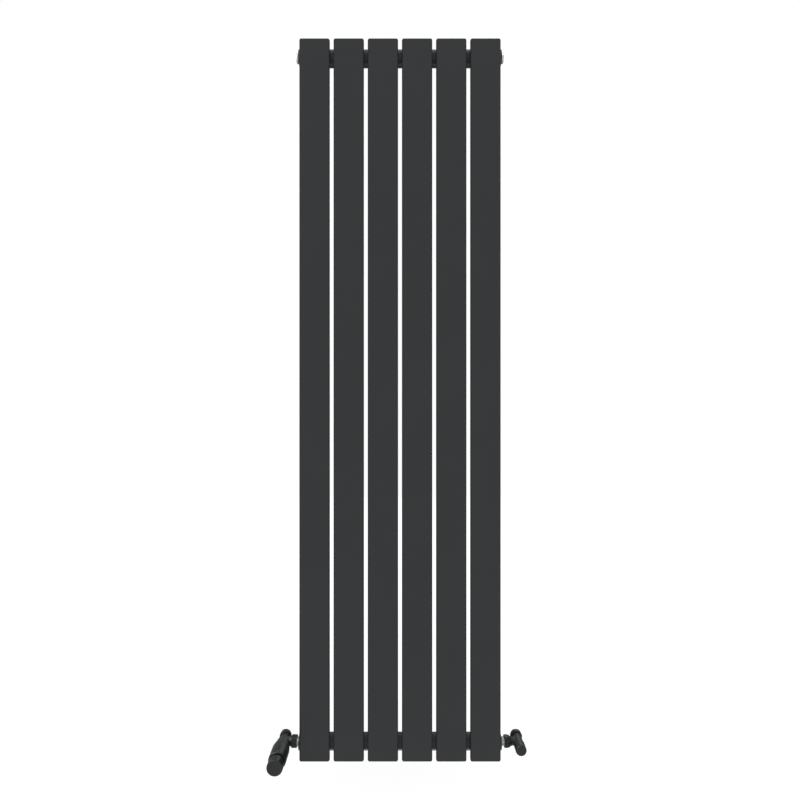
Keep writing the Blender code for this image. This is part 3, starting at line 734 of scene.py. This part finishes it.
def add_blanking_plug():
    """The left plug, with a six-sided socket for its key."""
    socket_flats = 0.0100
    face = from_middle("plug_left")[2]
    step = 0.0005
    depth = 0.0045
    corners = plug_corners("plug_left", socket_flats / 2 + step, face - step)
    plug = lathe("blanking_plug", softened(corners))
    corner = socket_flats / 2 / math.cos(math.pi / 6)
    socket = rod("socket", corner, face - depth, face + step, 6)
    plug = on_header(cut(plug, [socket]), -1, "top")
    shown(plug, "nickel", "nickel", "radiator", "plug_left")
    add_o_ring("plug_seal_left", "plug_left_o_ring", -1)


def add_air_vent():
    """The vent plug and its square-headed bleed screw."""
    face = from_middle("vent_plug")[2]
    recess = 0.0050
    floor = face - 0.0020
    bore = 0.0033
    corners = plug_corners("vent_plug", recess, floor)
    bore_foot = HEADER_END - 0.006
    corners = corners[:-1] + [(bore, floor, 0.0002), (bore, bore_foot, 0.0), (0, bore_foot, 0.0)]
    plug = on_header(lathe("air_vent_plug", softened(corners)), 1, "top")
    shown(plug, "nickel", "nickel", "radiator", "vent_plug")
    add_o_ring("plug_seal_right", "vent_o_ring", 1)
    add_bleed_screw(floor)


def add_bleed_screw(floor):
    """The screw: a shank with a narrower tip, a square for the key and a slot across the square."""
    foot, top = from_middle("bleed_screw")[1:]
    radius = 0.0030
    tip = 0.0022
    key_foot = floor - 0.0010
    key_corner = 0.0029
    key_flats = 0.0045
    slot_size = (0.0010, 0.012, 0.0024)
    shank = [
        (0, foot, 0.0),
        (tip, foot, 0.0002),
        (tip, foot + 0.0010, 0.0),
        (radius, foot + 0.0020, 0.0002),
        (radius, floor, 0.0003),
        (0, floor, 0.0),
    ]

    def square(size, angle, height):
        return min(size, flat_reach(key_flats, 4, angle))

    key_corners = [
        (0, key_foot, 0.0),
        (key_corner, key_foot, 0.0),
        (key_corner, top, 0.0003),
        (0, top, 0.0),
    ]
    screw = lathe("bleed_key_screw", softened(shank), 64)
    key = lathe("key", softened(key_corners), 64, square)
    slot = bmesh.new()
    block(slot, slot_size, (0, 0, top))
    screw = cut(cut(screw, [key], "UNION"), [object_from("slot", slot)])
    shown(on_header(screw, 1, "top"), "brass", "brass", "bleed_screw", "bleed_screw")


# ---------------------------------------------------------------- pieces that both valves have


def add_tail(name, node, side):
    """The nickel tail: threaded from its end in the header to the flange that the union nut holds."""
    foot, end = from_middle(node)[1:]
    bore = 0.0060
    neck = 0.0091
    crest = neck + 0.0003
    flange = 0.0110
    shoulder = end - 0.0050
    pitch = 0.0014
    depth = 0.0007
    corners = [
        (bore, foot, 0.0003),
        (crest, foot, 0.0006),
        (crest, HEADER_END, 0.0),
        (neck + 0.0002, shoulder, 0.0),
        (flange, shoulder, 0.0003),
        (flange, end, 0.0003),
        (bore, end, 0.0003),
    ]
    outline = resampled(softened(corners), pitch / 10)
    shape = thread(foot, shoulder - 0.0004, pitch, depth, (bore + neck) / 2)
    tail = lathe(name, outline, STEPS, shape)
    shown(on_header(tail, side, "bottom"), "nickel", "nickel", "radiator", node)


def add_union_nut(name, node, side, taper):
    """Six flats between a turned chamfer and a taper towards the valve."""
    foot, top = from_middle(node)[1:]
    corner = 0.0134
    flats = 0.0245
    lip_bore = 0.0094
    bore = 0.0113
    lip_top = foot + 0.0023
    chamfer = 0.0014
    corners = [
        (lip_bore, foot, 0.0003),
        (corner - chamfer, foot, 0.0004),
        (corner, foot + chamfer * 0.6, 0.0004),
        (corner, top - taper, 0.0006),
        (corner - chamfer, top, 0.0004),
        (bore, top, 0.0003),
        (bore, lip_top, 0.0),
        (lip_bore, lip_top, 0.0),
    ]
    outline = resampled(softened(corners), 0.0004)
    nut = lathe(name, outline, NUT_STEPS, hexagon(flats))
    shown(on_header(nut, side, "bottom"), "valve_coat", "valve_coat", "radiator", node)


def add_inlet_nut(name, node, x):
    """The compression nut: nearly round, with six shallow flats, a turned bead and a neck in front."""
    radius = 0.0131
    flats = 0.0250
    foot, top = from_wall(node)[1:]
    bore = 0.0077
    thread_bore = 0.0099
    lip_top = foot + 0.0035
    chamfer = 0.0012
    neck = 0.0107
    shoulder = top - 0.0034
    collar = shoulder - 0.0020
    groove = 0.0005
    corners = [
        (bore, foot, 0.0004),
        (radius - chamfer, foot, 0.0005),
        (radius, foot + chamfer, 0.0005),
        (radius, collar - groove, 0.0002),
        (radius - groove, collar, 0.0002),
        (radius, collar + groove, 0.0003),
        (radius, shoulder - chamfer * 0.7, 0.0004),
        (radius - chamfer, shoulder, 0.0004),
        (neck, shoulder, 0.0002),
        (neck, top, 0.0002),
        (thread_bore, top, 0.0002),
        (thread_bore, lip_top, 0.0),
        (bore, lip_top, 0.0),
    ]
    outline = resampled(softened(corners), 0.0004)
    flat = hexagon(flats, math.pi / 2)

    def shape(size, angle, height):
        return size if height > collar else flat(size, angle, height)

    nut = lathe(name, outline, NUT_STEPS, shape)
    shown(on_valve(nut, x), "valve_coat", "valve_coat", "radiator", node)


def add_connections():
    """The tail, the union nut and the compression nut of each valve."""
    trv = ("left", -1, "trv", TRV_X, 0.0015)
    lock = ("right", 1, "lock", LOCK_X, 0.0055)
    for end, side, valve, x, taper in (trv, lock):
        add_tail(f"threaded_tail_{end}", f"{valve}_tail", side)
        add_union_nut(f"union_nut_{end}", f"{valve}_union_nut", side, taper)
        add_inlet_nut(f"inlet_nut_{end}", f"{valve}_compression_nut", x)


def branch_outline(x, nut_top, reach, root, thread_radius):
    """The arm from the barrel to the union nut, as distances from the valve's axis."""
    mouth = abs(x) - nut_top - GAP
    buried = 0.004
    barrel_side = 0.0095
    return [
        (0, buried),
        (root, buried),
        (root, (mouth + barrel_side) / 2),
        (thread_radius, mouth),
        (thread_radius, reach),
        (0, reach),
    ]


def add_body(name, node, x, barrel, root, nut, tail):
    """A cast body: barrel and arm joined with soft hollows, then bored for the headwork and the pipe."""
    foot, top = from_wall(node)[1:]
    side = math.copysign(1, x)
    arm_thread = 0.0110
    inlet_thread = 0.0096
    pipe = 0.0077
    pipe_stop = 0.0345
    waterway = 0.0055
    chamber = 0.0083
    seat = 0.0390
    overrun = 0.001
    grain = 0.00042
    passes = 5
    outline = [(0, foot), (inlet_thread, foot), *barrel, (0, top)]
    body = lathe(name, outline, STEPS)
    reach = abs(x) - from_middle(tail)[2] - GAP
    arm = lathe("arm", branch_outline(x, from_middle(nut)[2], reach, root, arm_thread), STEPS)
    sideways = Matrix.Translation((0, 0, -HEADER_Y)) @ Matrix.Rotation(-side * math.pi / 2, 4, "Y")
    arm.data.transform(sideways)
    body = cast(cut(body, [arm], "UNION"), grain, passes)
    socket = rod("socket", pipe, foot - overrun, pipe_stop, DRILL_STEPS)
    bore = rod("bore", chamber, seat, top + overrun, DRILL_STEPS)
    throat = rod("throat", waterway, pipe_stop - overrun, seat + overrun, DRILL_STEPS)
    port = rod("port", waterway, 0, reach + overrun, DRILL_STEPS)
    port.data.transform(sideways)
    body = cut(body, [socket, bore, throat, port])
    shown(on_valve(body, x), "cast_coat", "valve_coat", "radiator", node)


# ---------------------------------------------------------------- thermostatic valve


def swell(foot, top, steps, shape):
    """Points between two (radius, height) ends. The shape turns the height's share into the radius's."""
    shares = [i / steps for i in range(steps + 1)]
    rise = top[1] - foot[1]
    growth = top[0] - foot[0]
    return [(foot[0] + growth * shape(share), foot[1] + rise * share) for share in shares]


def add_trv_body():
    """A short neck behind a barrel that swells towards the head."""
    radius = 0.0155
    foot_radius = 0.0112
    shoulder = 0.0580
    neck = 0.0098
    neck_top = BODY_FOOT + 0.0028
    flare_foot = neck_top + 0.0006
    fullness = 0.8
    top = from_wall("trv_body")[2]
    flare = swell((foot_radius, flare_foot), (radius, shoulder), 10, lambda share: share**fullness)
    barrel = [(neck, BODY_FOOT), (neck, neck_top), *flare, (radius, top)]
    add_body("cast_body_left", "trv_body", TRV_X, barrel, neck, "trv_union_nut", "trv_tail")


def add_sleeve():
    """The fixed sleeve of the head: a flared foot, a straight barrel and a stepped rim."""
    radius, foot, rim = from_wall("trv_sleeve")
    foot_radius = 0.0160
    shoulder = 0.0772
    wall = 0.0013
    lip = 0.0012
    lip_step = 0.0010
    inner_foot = foot_radius - 0.0010
    fullness = 0.75
    flare = swell((foot_radius, foot), (radius, shoulder), 12, lambda share: share**fullness)
    corners = [
        (inner_foot, foot, 0.0002),
        *((r, h, 0.0) for r, h in flare),
        (radius, rim - lip, 0.0004),
        (radius - lip_step, rim, 0.0004),
        (radius - wall, rim, 0.0002),
        (radius - wall, shoulder, 0.0),
        (inner_foot, (foot + 2 * shoulder) / 3, 0.0),
    ]
    sleeve = lathe("head_sleeve", softened(corners), NUT_STEPS)
    shown(on_valve(sleeve, TRV_X), "head_plastic", "valve_coat", "radiator", "trv_sleeve")


def knob_sizes():
    """(radius, foot, front, groove top) of the knob, whose groove ends in front of the sleeve's rim."""
    groove_reach = 0.0056
    radius, foot, front = from_wall("trv_knob")
    return radius, foot, front, from_wall("trv_sleeve")[2] + groove_reach


def add_knob():
    """The knob: a groove where it meets the rim, a soft front edge and a very shallow dish."""
    radius, foot, front, groove_top = knob_sizes()
    groove = radius - 0.0014
    groove_foot = from_wall("trv_sleeve")[2] - 0.0030
    groove_side = groove_top - 0.0022
    rounding = 0.0012
    face_edge = radius - 0.0034
    dish_edge = radius - 0.0040
    dish_floor = front - 0.0003
    recess = 0.0125
    recess_top = from_wall("trv_sensor_capsule")[2] + 0.0030
    corners = [
        (recess, foot, 0.0003),
        (radius, foot, 0.0003),
        (radius, groove_foot, 0.0003),
        (groove, groove_foot, 0.0003),
        (groove, groove_side, 0.0004),
        (radius, groove_top, 0.0006),
        (radius, front, rounding),
        (face_edge, front, 0.0004),
        (dish_edge, dish_floor, 0.0004),
        (0, dish_floor, 0.0),
        (0, recess_top, 0.0),
        (recess, recess_top, 0.0003),
    ]
    knob = lathe("head_knob", softened(corners, 6), NUT_STEPS)
    shown(on_valve(knob, TRV_X), "head_plastic", "valve_coat", "trv_knob", "trv_knob")


def wrapped_text(name, body, size, radius, angle, height):
    """A number bent round the knob, its right clockwise as seen from the room and its top to the wall."""
    relief = 0.00006
    curve = bpy.data.curves.new(name, "FONT")
    curve.body = body
    curve.size = size
    curve.extrude = relief
    curve.align_x = "CENTER"
    curve.align_y = "CENTER"
    text = linked(name, curve)
    bpy.context.view_layer.update()
    graph = bpy.context.evaluated_depsgraph_get()
    mesh = bpy.data.meshes.new_from_object(text.evaluated_get(graph))
    bpy.data.objects.remove(text, do_unlink=True)
    for corner in mesh.vertices:
        turn = angle - corner.co.x / radius
        reach = radius + corner.co.z
        across = corner.co.y
        corner.co = (reach * math.cos(turn), reach * math.sin(turn), height - across)
    return linked(name, mesh)


def add_knob_numbers():
    """The dial's numbers and the dots between them; the one under the sleeve's mark is the setting."""
    radius, _, front, groove_top = knob_sizes()
    lowest, highest = joint_named("trv_knob_turn")["range_deg"]
    numbers = 6
    marks = 2 * numbers - 1
    size = 0.0036
    height = (groove_top + front) / 2
    pieces = []
    for i in range(marks):
        setting = lowest + (highest - lowest) * (i / (marks - 1))
        label = str(i // 2) if i % 2 == 0 else "."
        turn = math.pi / 2 - math.radians(setting)
        pieces.append(wrapped_text(f"number_{i}", label, size, radius, turn, height))
    numbers_piece = joined("knob_numbers", pieces)
    shown(on_valve(numbers_piece, TRV_X), "pale_print", "valve_coat", "trv_knob")


def add_sleeve_mark():
    """The raised mark on top of the sleeve that the numbers are read against."""
    radius, _, rim = from_wall("trv_sleeve")
    half_width = 0.0005
    buried = 0.0004
    proud = 0.00025
    bm = bmesh.new()
    low = Vector((-half_width, radius - buried, rim - 0.0075))
    high = Vector((half_width, radius + proud, rim - 0.0025))
    rounded_box(bm, low, high, 0.0002, 3)
    mark = on_valve(object_from("sleeve_mark", bm), TRV_X)
    shown(mark, "pale_print", "valve_coat", "radiator")


def add_return_spring():
    """The pin's spring, its end coils closed. It is built at rest; the real one shortens as the pin goes
    in.
    """
    radius, foot, top = from_wall("trv_spring")
    wire = 0.00035
    sides = 12
    per_turn = 32
    turns = 5
    dead = 0.75
    coil = radius - wire
    bm = bmesh.new()
    rings = []
    for step in range(per_turn * turns + 1):
        turn = step / per_turn
        wound = min(max((turn - dead) / (turns - 2 * dead), 0.0), 1.0)
        height = foot + wire + (top - foot - 2 * wire) * wound
        about = Matrix.Rotation(math.tau * turn, 3, "Z")
        ring = []
        for side in range(sides):
            angle = math.tau * side / sides
            point = Vector((coil + wire * math.cos(angle), 0, height + wire * math.sin(angle)))
            ring.append(bm.verts.new(about @ point))
        rings.append(ring)
    for lower, upper in zip(rings, rings[1:]):
        bridge(bm, lower, upper)
    bm.faces.new(rings[0])
    bm.faces.new(rings[-1])
    spring = on_valve(object_from("return_spring", bm), TRV_X)
    shown(spring, "steel", "steel", "radiator", "trv_spring")
    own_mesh(spring)


# ---------------------------------------------------------------- lockshield valve


def add_lock_body():
    """A straight barrel with a narrower neck for the cap."""
    radius = 0.0107
    neck = 0.0097
    root = 0.0088
    neck_foot = 0.0575
    top = from_wall("lock_body")[2]
    barrel = [(radius, BODY_FOOT), (radius, neck_foot), (neck, neck_foot), (neck, top)]
    add_body("cast_body_right", "lock_body", LOCK_X, barrel, root, "lock_union_nut", "lock_tail")


def add_gland():
    """The gland: a round shank in the body, and a hexagon in front of it."""
    radius = 0.0092
    foot, top = from_wall("lock_gland")[1:]
    seat = from_wall("lock_body")[2] + GAP
    bore = 0.0029
    shank = 0.0080
    flats = 0.0166
    corners = [
        (bore, foot, 0.0),
        (shank, foot, 0.0),
        (shank, seat, 0.0),
        (radius, seat, 0.0002),
        (radius, top - 0.0006, 0.0003),
        (radius - 0.0010, top, 0.0003),
        (bore + 0.0006, top, 0.0),
        (bore, top - 0.0006, 0.0),
    ]
    flat = hexagon(flats, math.pi / 2)

    def shape(size, angle, height):
        return flat(size, angle, height) if height > seat - 0.0001 else size

    outline = resampled(softened(corners), 0.0005)
    gland = on_valve(lathe("hex_gland", outline, NUT_STEPS, shape), LOCK_X)
    shown(gland, "brass", "brass", "radiator", "lock_gland")


def add_spindle():
    """The spindle, with a chamfered square end for the key."""
    collar, foot, top = from_wall("lock_spindle")
    shank = 0.0026
    tip = 0.0020
    square_corner = 0.00247
    flats = 0.0035
    square_foot = top - 0.0025
    collar_top = from_wall("lock_gland")[1] - GAP
    collar_foot = collar_top - 0.0017
    corners = [
        (0, foot, 0.0),
        (tip, foot, 0.0003),
        (tip, collar_foot, 0.0),
        (collar, collar_foot, 0.0002),
        (collar, collar_top, 0.0002),
        (shank, collar_top, 0.0),
        (shank, square_foot, 0.0002),
        (square_corner, square_foot, 0.0),
        (square_corner, top - 0.0003, 0.0),
        (0.0019, top, 0.0),
        (0, top, 0.0),
    ]

    def shape(size, angle, height):
        on_square = height > square_foot - 0.00001 and size < shank - 0.0001
        return min(size, flat_reach(flats, 4, angle)) if on_square else size

    spindle = on_valve(lathe("square_spindle", softened(corners), STEPS, shape), LOCK_X)
    shown(spindle, "brass", "brass", "lock_spindle", "lock_spindle")


def add_lock_cap():
    """The cap: a soft front edge and a fine groove near its foot."""
    radius, foot, front = from_wall("lock_cap")
    bore = 0.0100
    crown = front - 0.0022
    rounding = 0.0034
    groove = 0.0003
    corners = [
        (bore, foot, 0.0003),
        (radius, foot, 0.0004),
        (radius, foot + 0.0030, 0.0001),
        (radius - groove, foot + 0.0033, 0.0001),
        (radius, foot + 0.0036, 0.0001),
        (radius, front, rounding),
        (0, front, 0.0),
        (0, crown, 0.0),
        (bore, crown, 0.0020),
    ]
    cap = on_valve(lathe("lockshield_cap", softened(corners, 10), NUT_STEPS), LOCK_X)
    shown(cap, "head_plastic", "valve_coat", "lock_cap", "lock_cap")


# ---------------------------------------------------------------- brackets


STRAP = 0.0025
SADDLE = 0.0015


def strap_outline():
    """A bent strap seen from its side: down the wall, out under the header and up in front of it."""
    seat = HEADER_RADIUS + SADDLE + 2 * GAP
    outer = seat + STRAP
    bend = 0.006
    bend_centre = (bend, -seat - bend)
    foot = 0.066
    lip_angle = 38
    axis = (-HEADER_Y, 0)
    upper = [(0, -foot)]
    upper += arc(bend_centre, bend, 180, 90, 10)
    upper += arc(axis, seat, 270, 270 + lip_angle, 10)
    lower = arc(axis, outer, 270 + lip_angle, 270, 10)
    lower += arc(bend_centre, bend - STRAP, 90, 180, 10)
    lower += [(STRAP, -foot)]
    return [(-distance, height) for distance, height in upper + lower]


def saddle_outline():
    """The plastic trough between the strap and the header, seen from its side."""
    trough = HEADER_RADIUS + GAP
    outer = trough + SADDLE
    axis = (-HEADER_Y, 0)
    front_angle = 34
    rear_angle = 62
    underside = arc(axis, outer, 270, 270 + front_angle, 10)
    inside = arc(axis, trough, 270 + front_angle, 270 - rear_angle, 24)
    rear = -HEADER_Y - outer
    outline = [(rear, -outer), *underside, *inside, (rear, inside[-1][1])]
    return [(-distance, height) for distance, height in outline]


def wall_screw(name):
    """A pan head with a cross recess, and the shank as far as the wall."""
    shank = 0.0023
    head = 0.0046
    head_foot = STRAP + GAP
    head_top = head_foot + 0.0030
    blade_size = (0.0009, 0.0046, 0.0036)
    blade_taper = 0.45
    corners = [
        (0, 0, 0.0),
        (shank, 0, 0.0),
        (shank, head_foot, 0.0),
        (head, head_foot, 0.0002),
        (head, head_top - 0.0018, 0.0010),
        (head - 0.0018, head_top, 0.0012),
        (0, head_top, 0.0),
    ]
    screw = lathe(name, softened(corners, 6), 64)
    tools = []
    for turn in (0, math.pi / 2):
        bm = bmesh.new()
        blade = block(bm, blade_size, (0, 0, 0))
        for corner in blade:
            if corner.co.z < 0:
                corner.co.y *= blade_taper
        bmesh.ops.translate(bm, vec=(0, 0, head_top), verts=blade)
        bmesh.ops.rotate(bm, verts=blade, cent=(0, 0, 0), matrix=Matrix.Rotation(turn, 3, "Z"))
        tools.append(object_from("blade", bm))
    return cut(screw, tools)


def add_brackets():
    for row, level in ROWS.items():
        for end, _ in ENDS:
            add_bracket(f"bracket_{row}_{end}", level)


def add_bracket(node, level):
    """A strap with its two wall screws, and the plastic saddle that the header lies in."""
    width = 0.024
    strap_edge = 0.0004
    saddle_edge = 0.0003
    hole_radius = 0.0027
    x = centre(node).x
    turn = Matrix.Rotation(0 if level > 0 else math.pi, 4, "Y")
    place = Matrix.Translation((x, 0, level * HEADER_Z)) @ turn
    strap = extruded(node.replace("bracket", "strap"), strap_outline(), width, strap_edge)
    holes = []
    for number in (1, 2):
        drop = HEADER_Z - abs(centre(f"{node}_screw_{number}").z)
        hole = rod("hole", hole_radius, -STRAP, 2 * STRAP, DRILL_STEPS)
        hole.data.transform(Matrix.Translation((0, 0, -drop)) @ Matrix.Rotation(math.pi / 2, 4, "X"))
        holes.append(hole)
    strap = cut(strap, holes)
    strap.data.transform(place)
    shown(strap, "zinc", "zinc", "radiator", node)
    saddle = extruded(node.replace("bracket", "saddle"), saddle_outline(), width, saddle_edge)
    saddle.data.transform(place)
    shown(saddle, "grey_plastic", "grey_plastic", "radiator", f"{node}_saddle")
    for number in (1, 2):
        screw_node = f"{node}_screw_{number}"
        screw = wall_screw(screw_node.replace("bracket", "wall"))
        middle = centre(screw_node)
        # The recesses are turned, so that they don't all stand alike.
        spin = Matrix.Rotation(0.5 * number + x * 40, 4, "Z")
        out = Matrix.Translation((middle.x, 0, middle.z)) @ Matrix.Rotation(math.pi / 2, 4, "X")
        screw.data.transform(out @ spin)
        shown(screw, "steel", "steel", "radiator", screw_node)


# ---------------------------------------------------------------- room, light and camera


def add_floor():
    """A plain pale floor under the radiator, too even to show a shadow's edge."""
    below = 0.12
    half = 4.0
    z = CAD_BOX[0].z - below
    mesh = bpy.data.meshes.new("floor")
    corners = [(-half, -half, z), (half, -half, z), (half, half, z), (-half, half, z)]
    mesh.from_pydata(corners, [], [(0, 1, 2, 3)])
    floor = linked("floor", mesh)
    material = bpy.data.materials.new("floor")
    material.use_nodes = True
    shader = material.node_tree.nodes["Principled BSDF"]
    shader.inputs["Base Color"].default_value = (0.80, 0.80, 0.80, 1.0)
    shader.inputs["Roughness"].default_value = 0.9
    shader.inputs["Emission Color"].default_value = (1.0, 1.0, 1.0, 1.0)
    shader.inputs["Emission Strength"].default_value = 0.70
    mesh.materials.append(material)
    floor.visible_diffuse = False
    floor.visible_glossy = False


def background(tree, strength):
    inputs = {"Color": (1, 1, 1, 1), "Strength": strength}
    return add(tree, "ShaderNodeBackground", inputs=inputs).outputs[0]


def add_world():
    """White behind the radiator, and a studio whose light comes mostly from the front."""
    sides = 0.30
    front = 0.64
    side_depth = 0.10
    front_depth = -0.60
    world = bpy.data.worlds.new("studio")
    bpy.context.scene.world = world
    world.use_nodes = True
    tree = world.node_tree
    tree.nodes.clear()
    direction = add(tree, "ShaderNodeTexCoord").outputs["Generated"]
    depth = add(tree, "ShaderNodeSeparateXYZ", inputs={0: direction}).outputs["Y"]
    studio = ranged(tree, depth, front, sides, front_depth, side_depth)
    ray = add(tree, "ShaderNodeLightPath").outputs["Is Camera Ray"]
    inputs = {0: ray, 1: background(tree, studio), 2: background(tree, 1.0)}
    chosen = add(tree, "ShaderNodeMixShader", inputs=inputs)
    output = add(tree, "ShaderNodeOutputWorld")
    tree.links.new(chosen.outputs[0], output.inputs["Surface"])


def add_light(name, place, target, size, power):
    light = bpy.data.lights.new(name, "AREA")
    light.shape = "RECTANGLE"
    light.size, light.size_y = size
    light.energy = power
    lamp = linked(name, light)
    lamp.location = place
    lamp.rotation_euler = (Vector(target) - Vector(place)).to_track_quat("-Z", "Y").to_euler()
    return lamp


def lit_pieces(name, wanted):
    """A collection of the pieces that a light is for."""
    group = bpy.data.collections.new(name)
    for obj in bpy.context.scene.objects:
        if obj.type == "MESH" and wanted(obj.name):
            group.objects.link(obj)
    return group


def add_lights():
    """Two softboxes for the headers and fittings, one for the headers alone, and one behind for all.

    The first three leave out the panels, whose edges stay dark, and the floor, which stays even.
    """
    unlit = ("flat_tube", "floor")
    fittings = lit_pieces("fittings", lambda name: not name.startswith(unlit))
    headers = lit_pieces("headers", lambda name: name.startswith("header_tube"))
    key = add_light("upper_left", (-2.5, -0.7, 1.3), (0, 0, -0.5), (2.6, 2.6), 100)
    top = add_light("overhead", (0.3, -0.3, 3.2), (0, 0, 0), (2.4, 2.0), 20)
    for lamp in (key, top):
        lamp.light_linking.receiver_collection = fittings
    low = add_light("floor_bounce", (0, 1.5, -8.0), (0, 0, 0), (6.0, 4.0), 230)
    low.light_linking.receiver_collection = headers
    add_light("back", (1.2, 3.0, 1.6), (0, 0, 0), (2.0, 2.0), 14)


def add_camera():
    """Level with the middle of the panels and square on, near enough to see the valves from above."""
    lens = 25.2
    sensor = 36
    distance = 1.236
    data = bpy.data.cameras.new("camera")
    data.lens = lens
    data.sensor_width = sensor
    camera = linked("camera", data)
    camera.location = (0, PANEL_FRONT - distance, 0)
    camera.rotation_euler = (math.pi / 2, 0, 0)
    bpy.context.scene.camera = camera


def set_view():
    """Plain colours, as in a catalogue picture."""
    settings = bpy.context.scene.view_settings
    settings.view_transform = "Standard"
    settings.look = "None"


# ---------------------------------------------------------------- the whole object


add_camera()
finish_nodes()
add_panels()
add_headers()
add_welds()
add_header_ends()
add_blanking_plug()
add_air_vent()
add_connections()
add_trv_body()
add_sleeve()
add_sleeve_mark()
add_knob()
add_knob_numbers()
add_return_spring()
add_lock_body()
add_gland()
add_spindle()
add_lock_cap()
add_brackets()
add_floor()
add_world()
add_lights()
set_view()
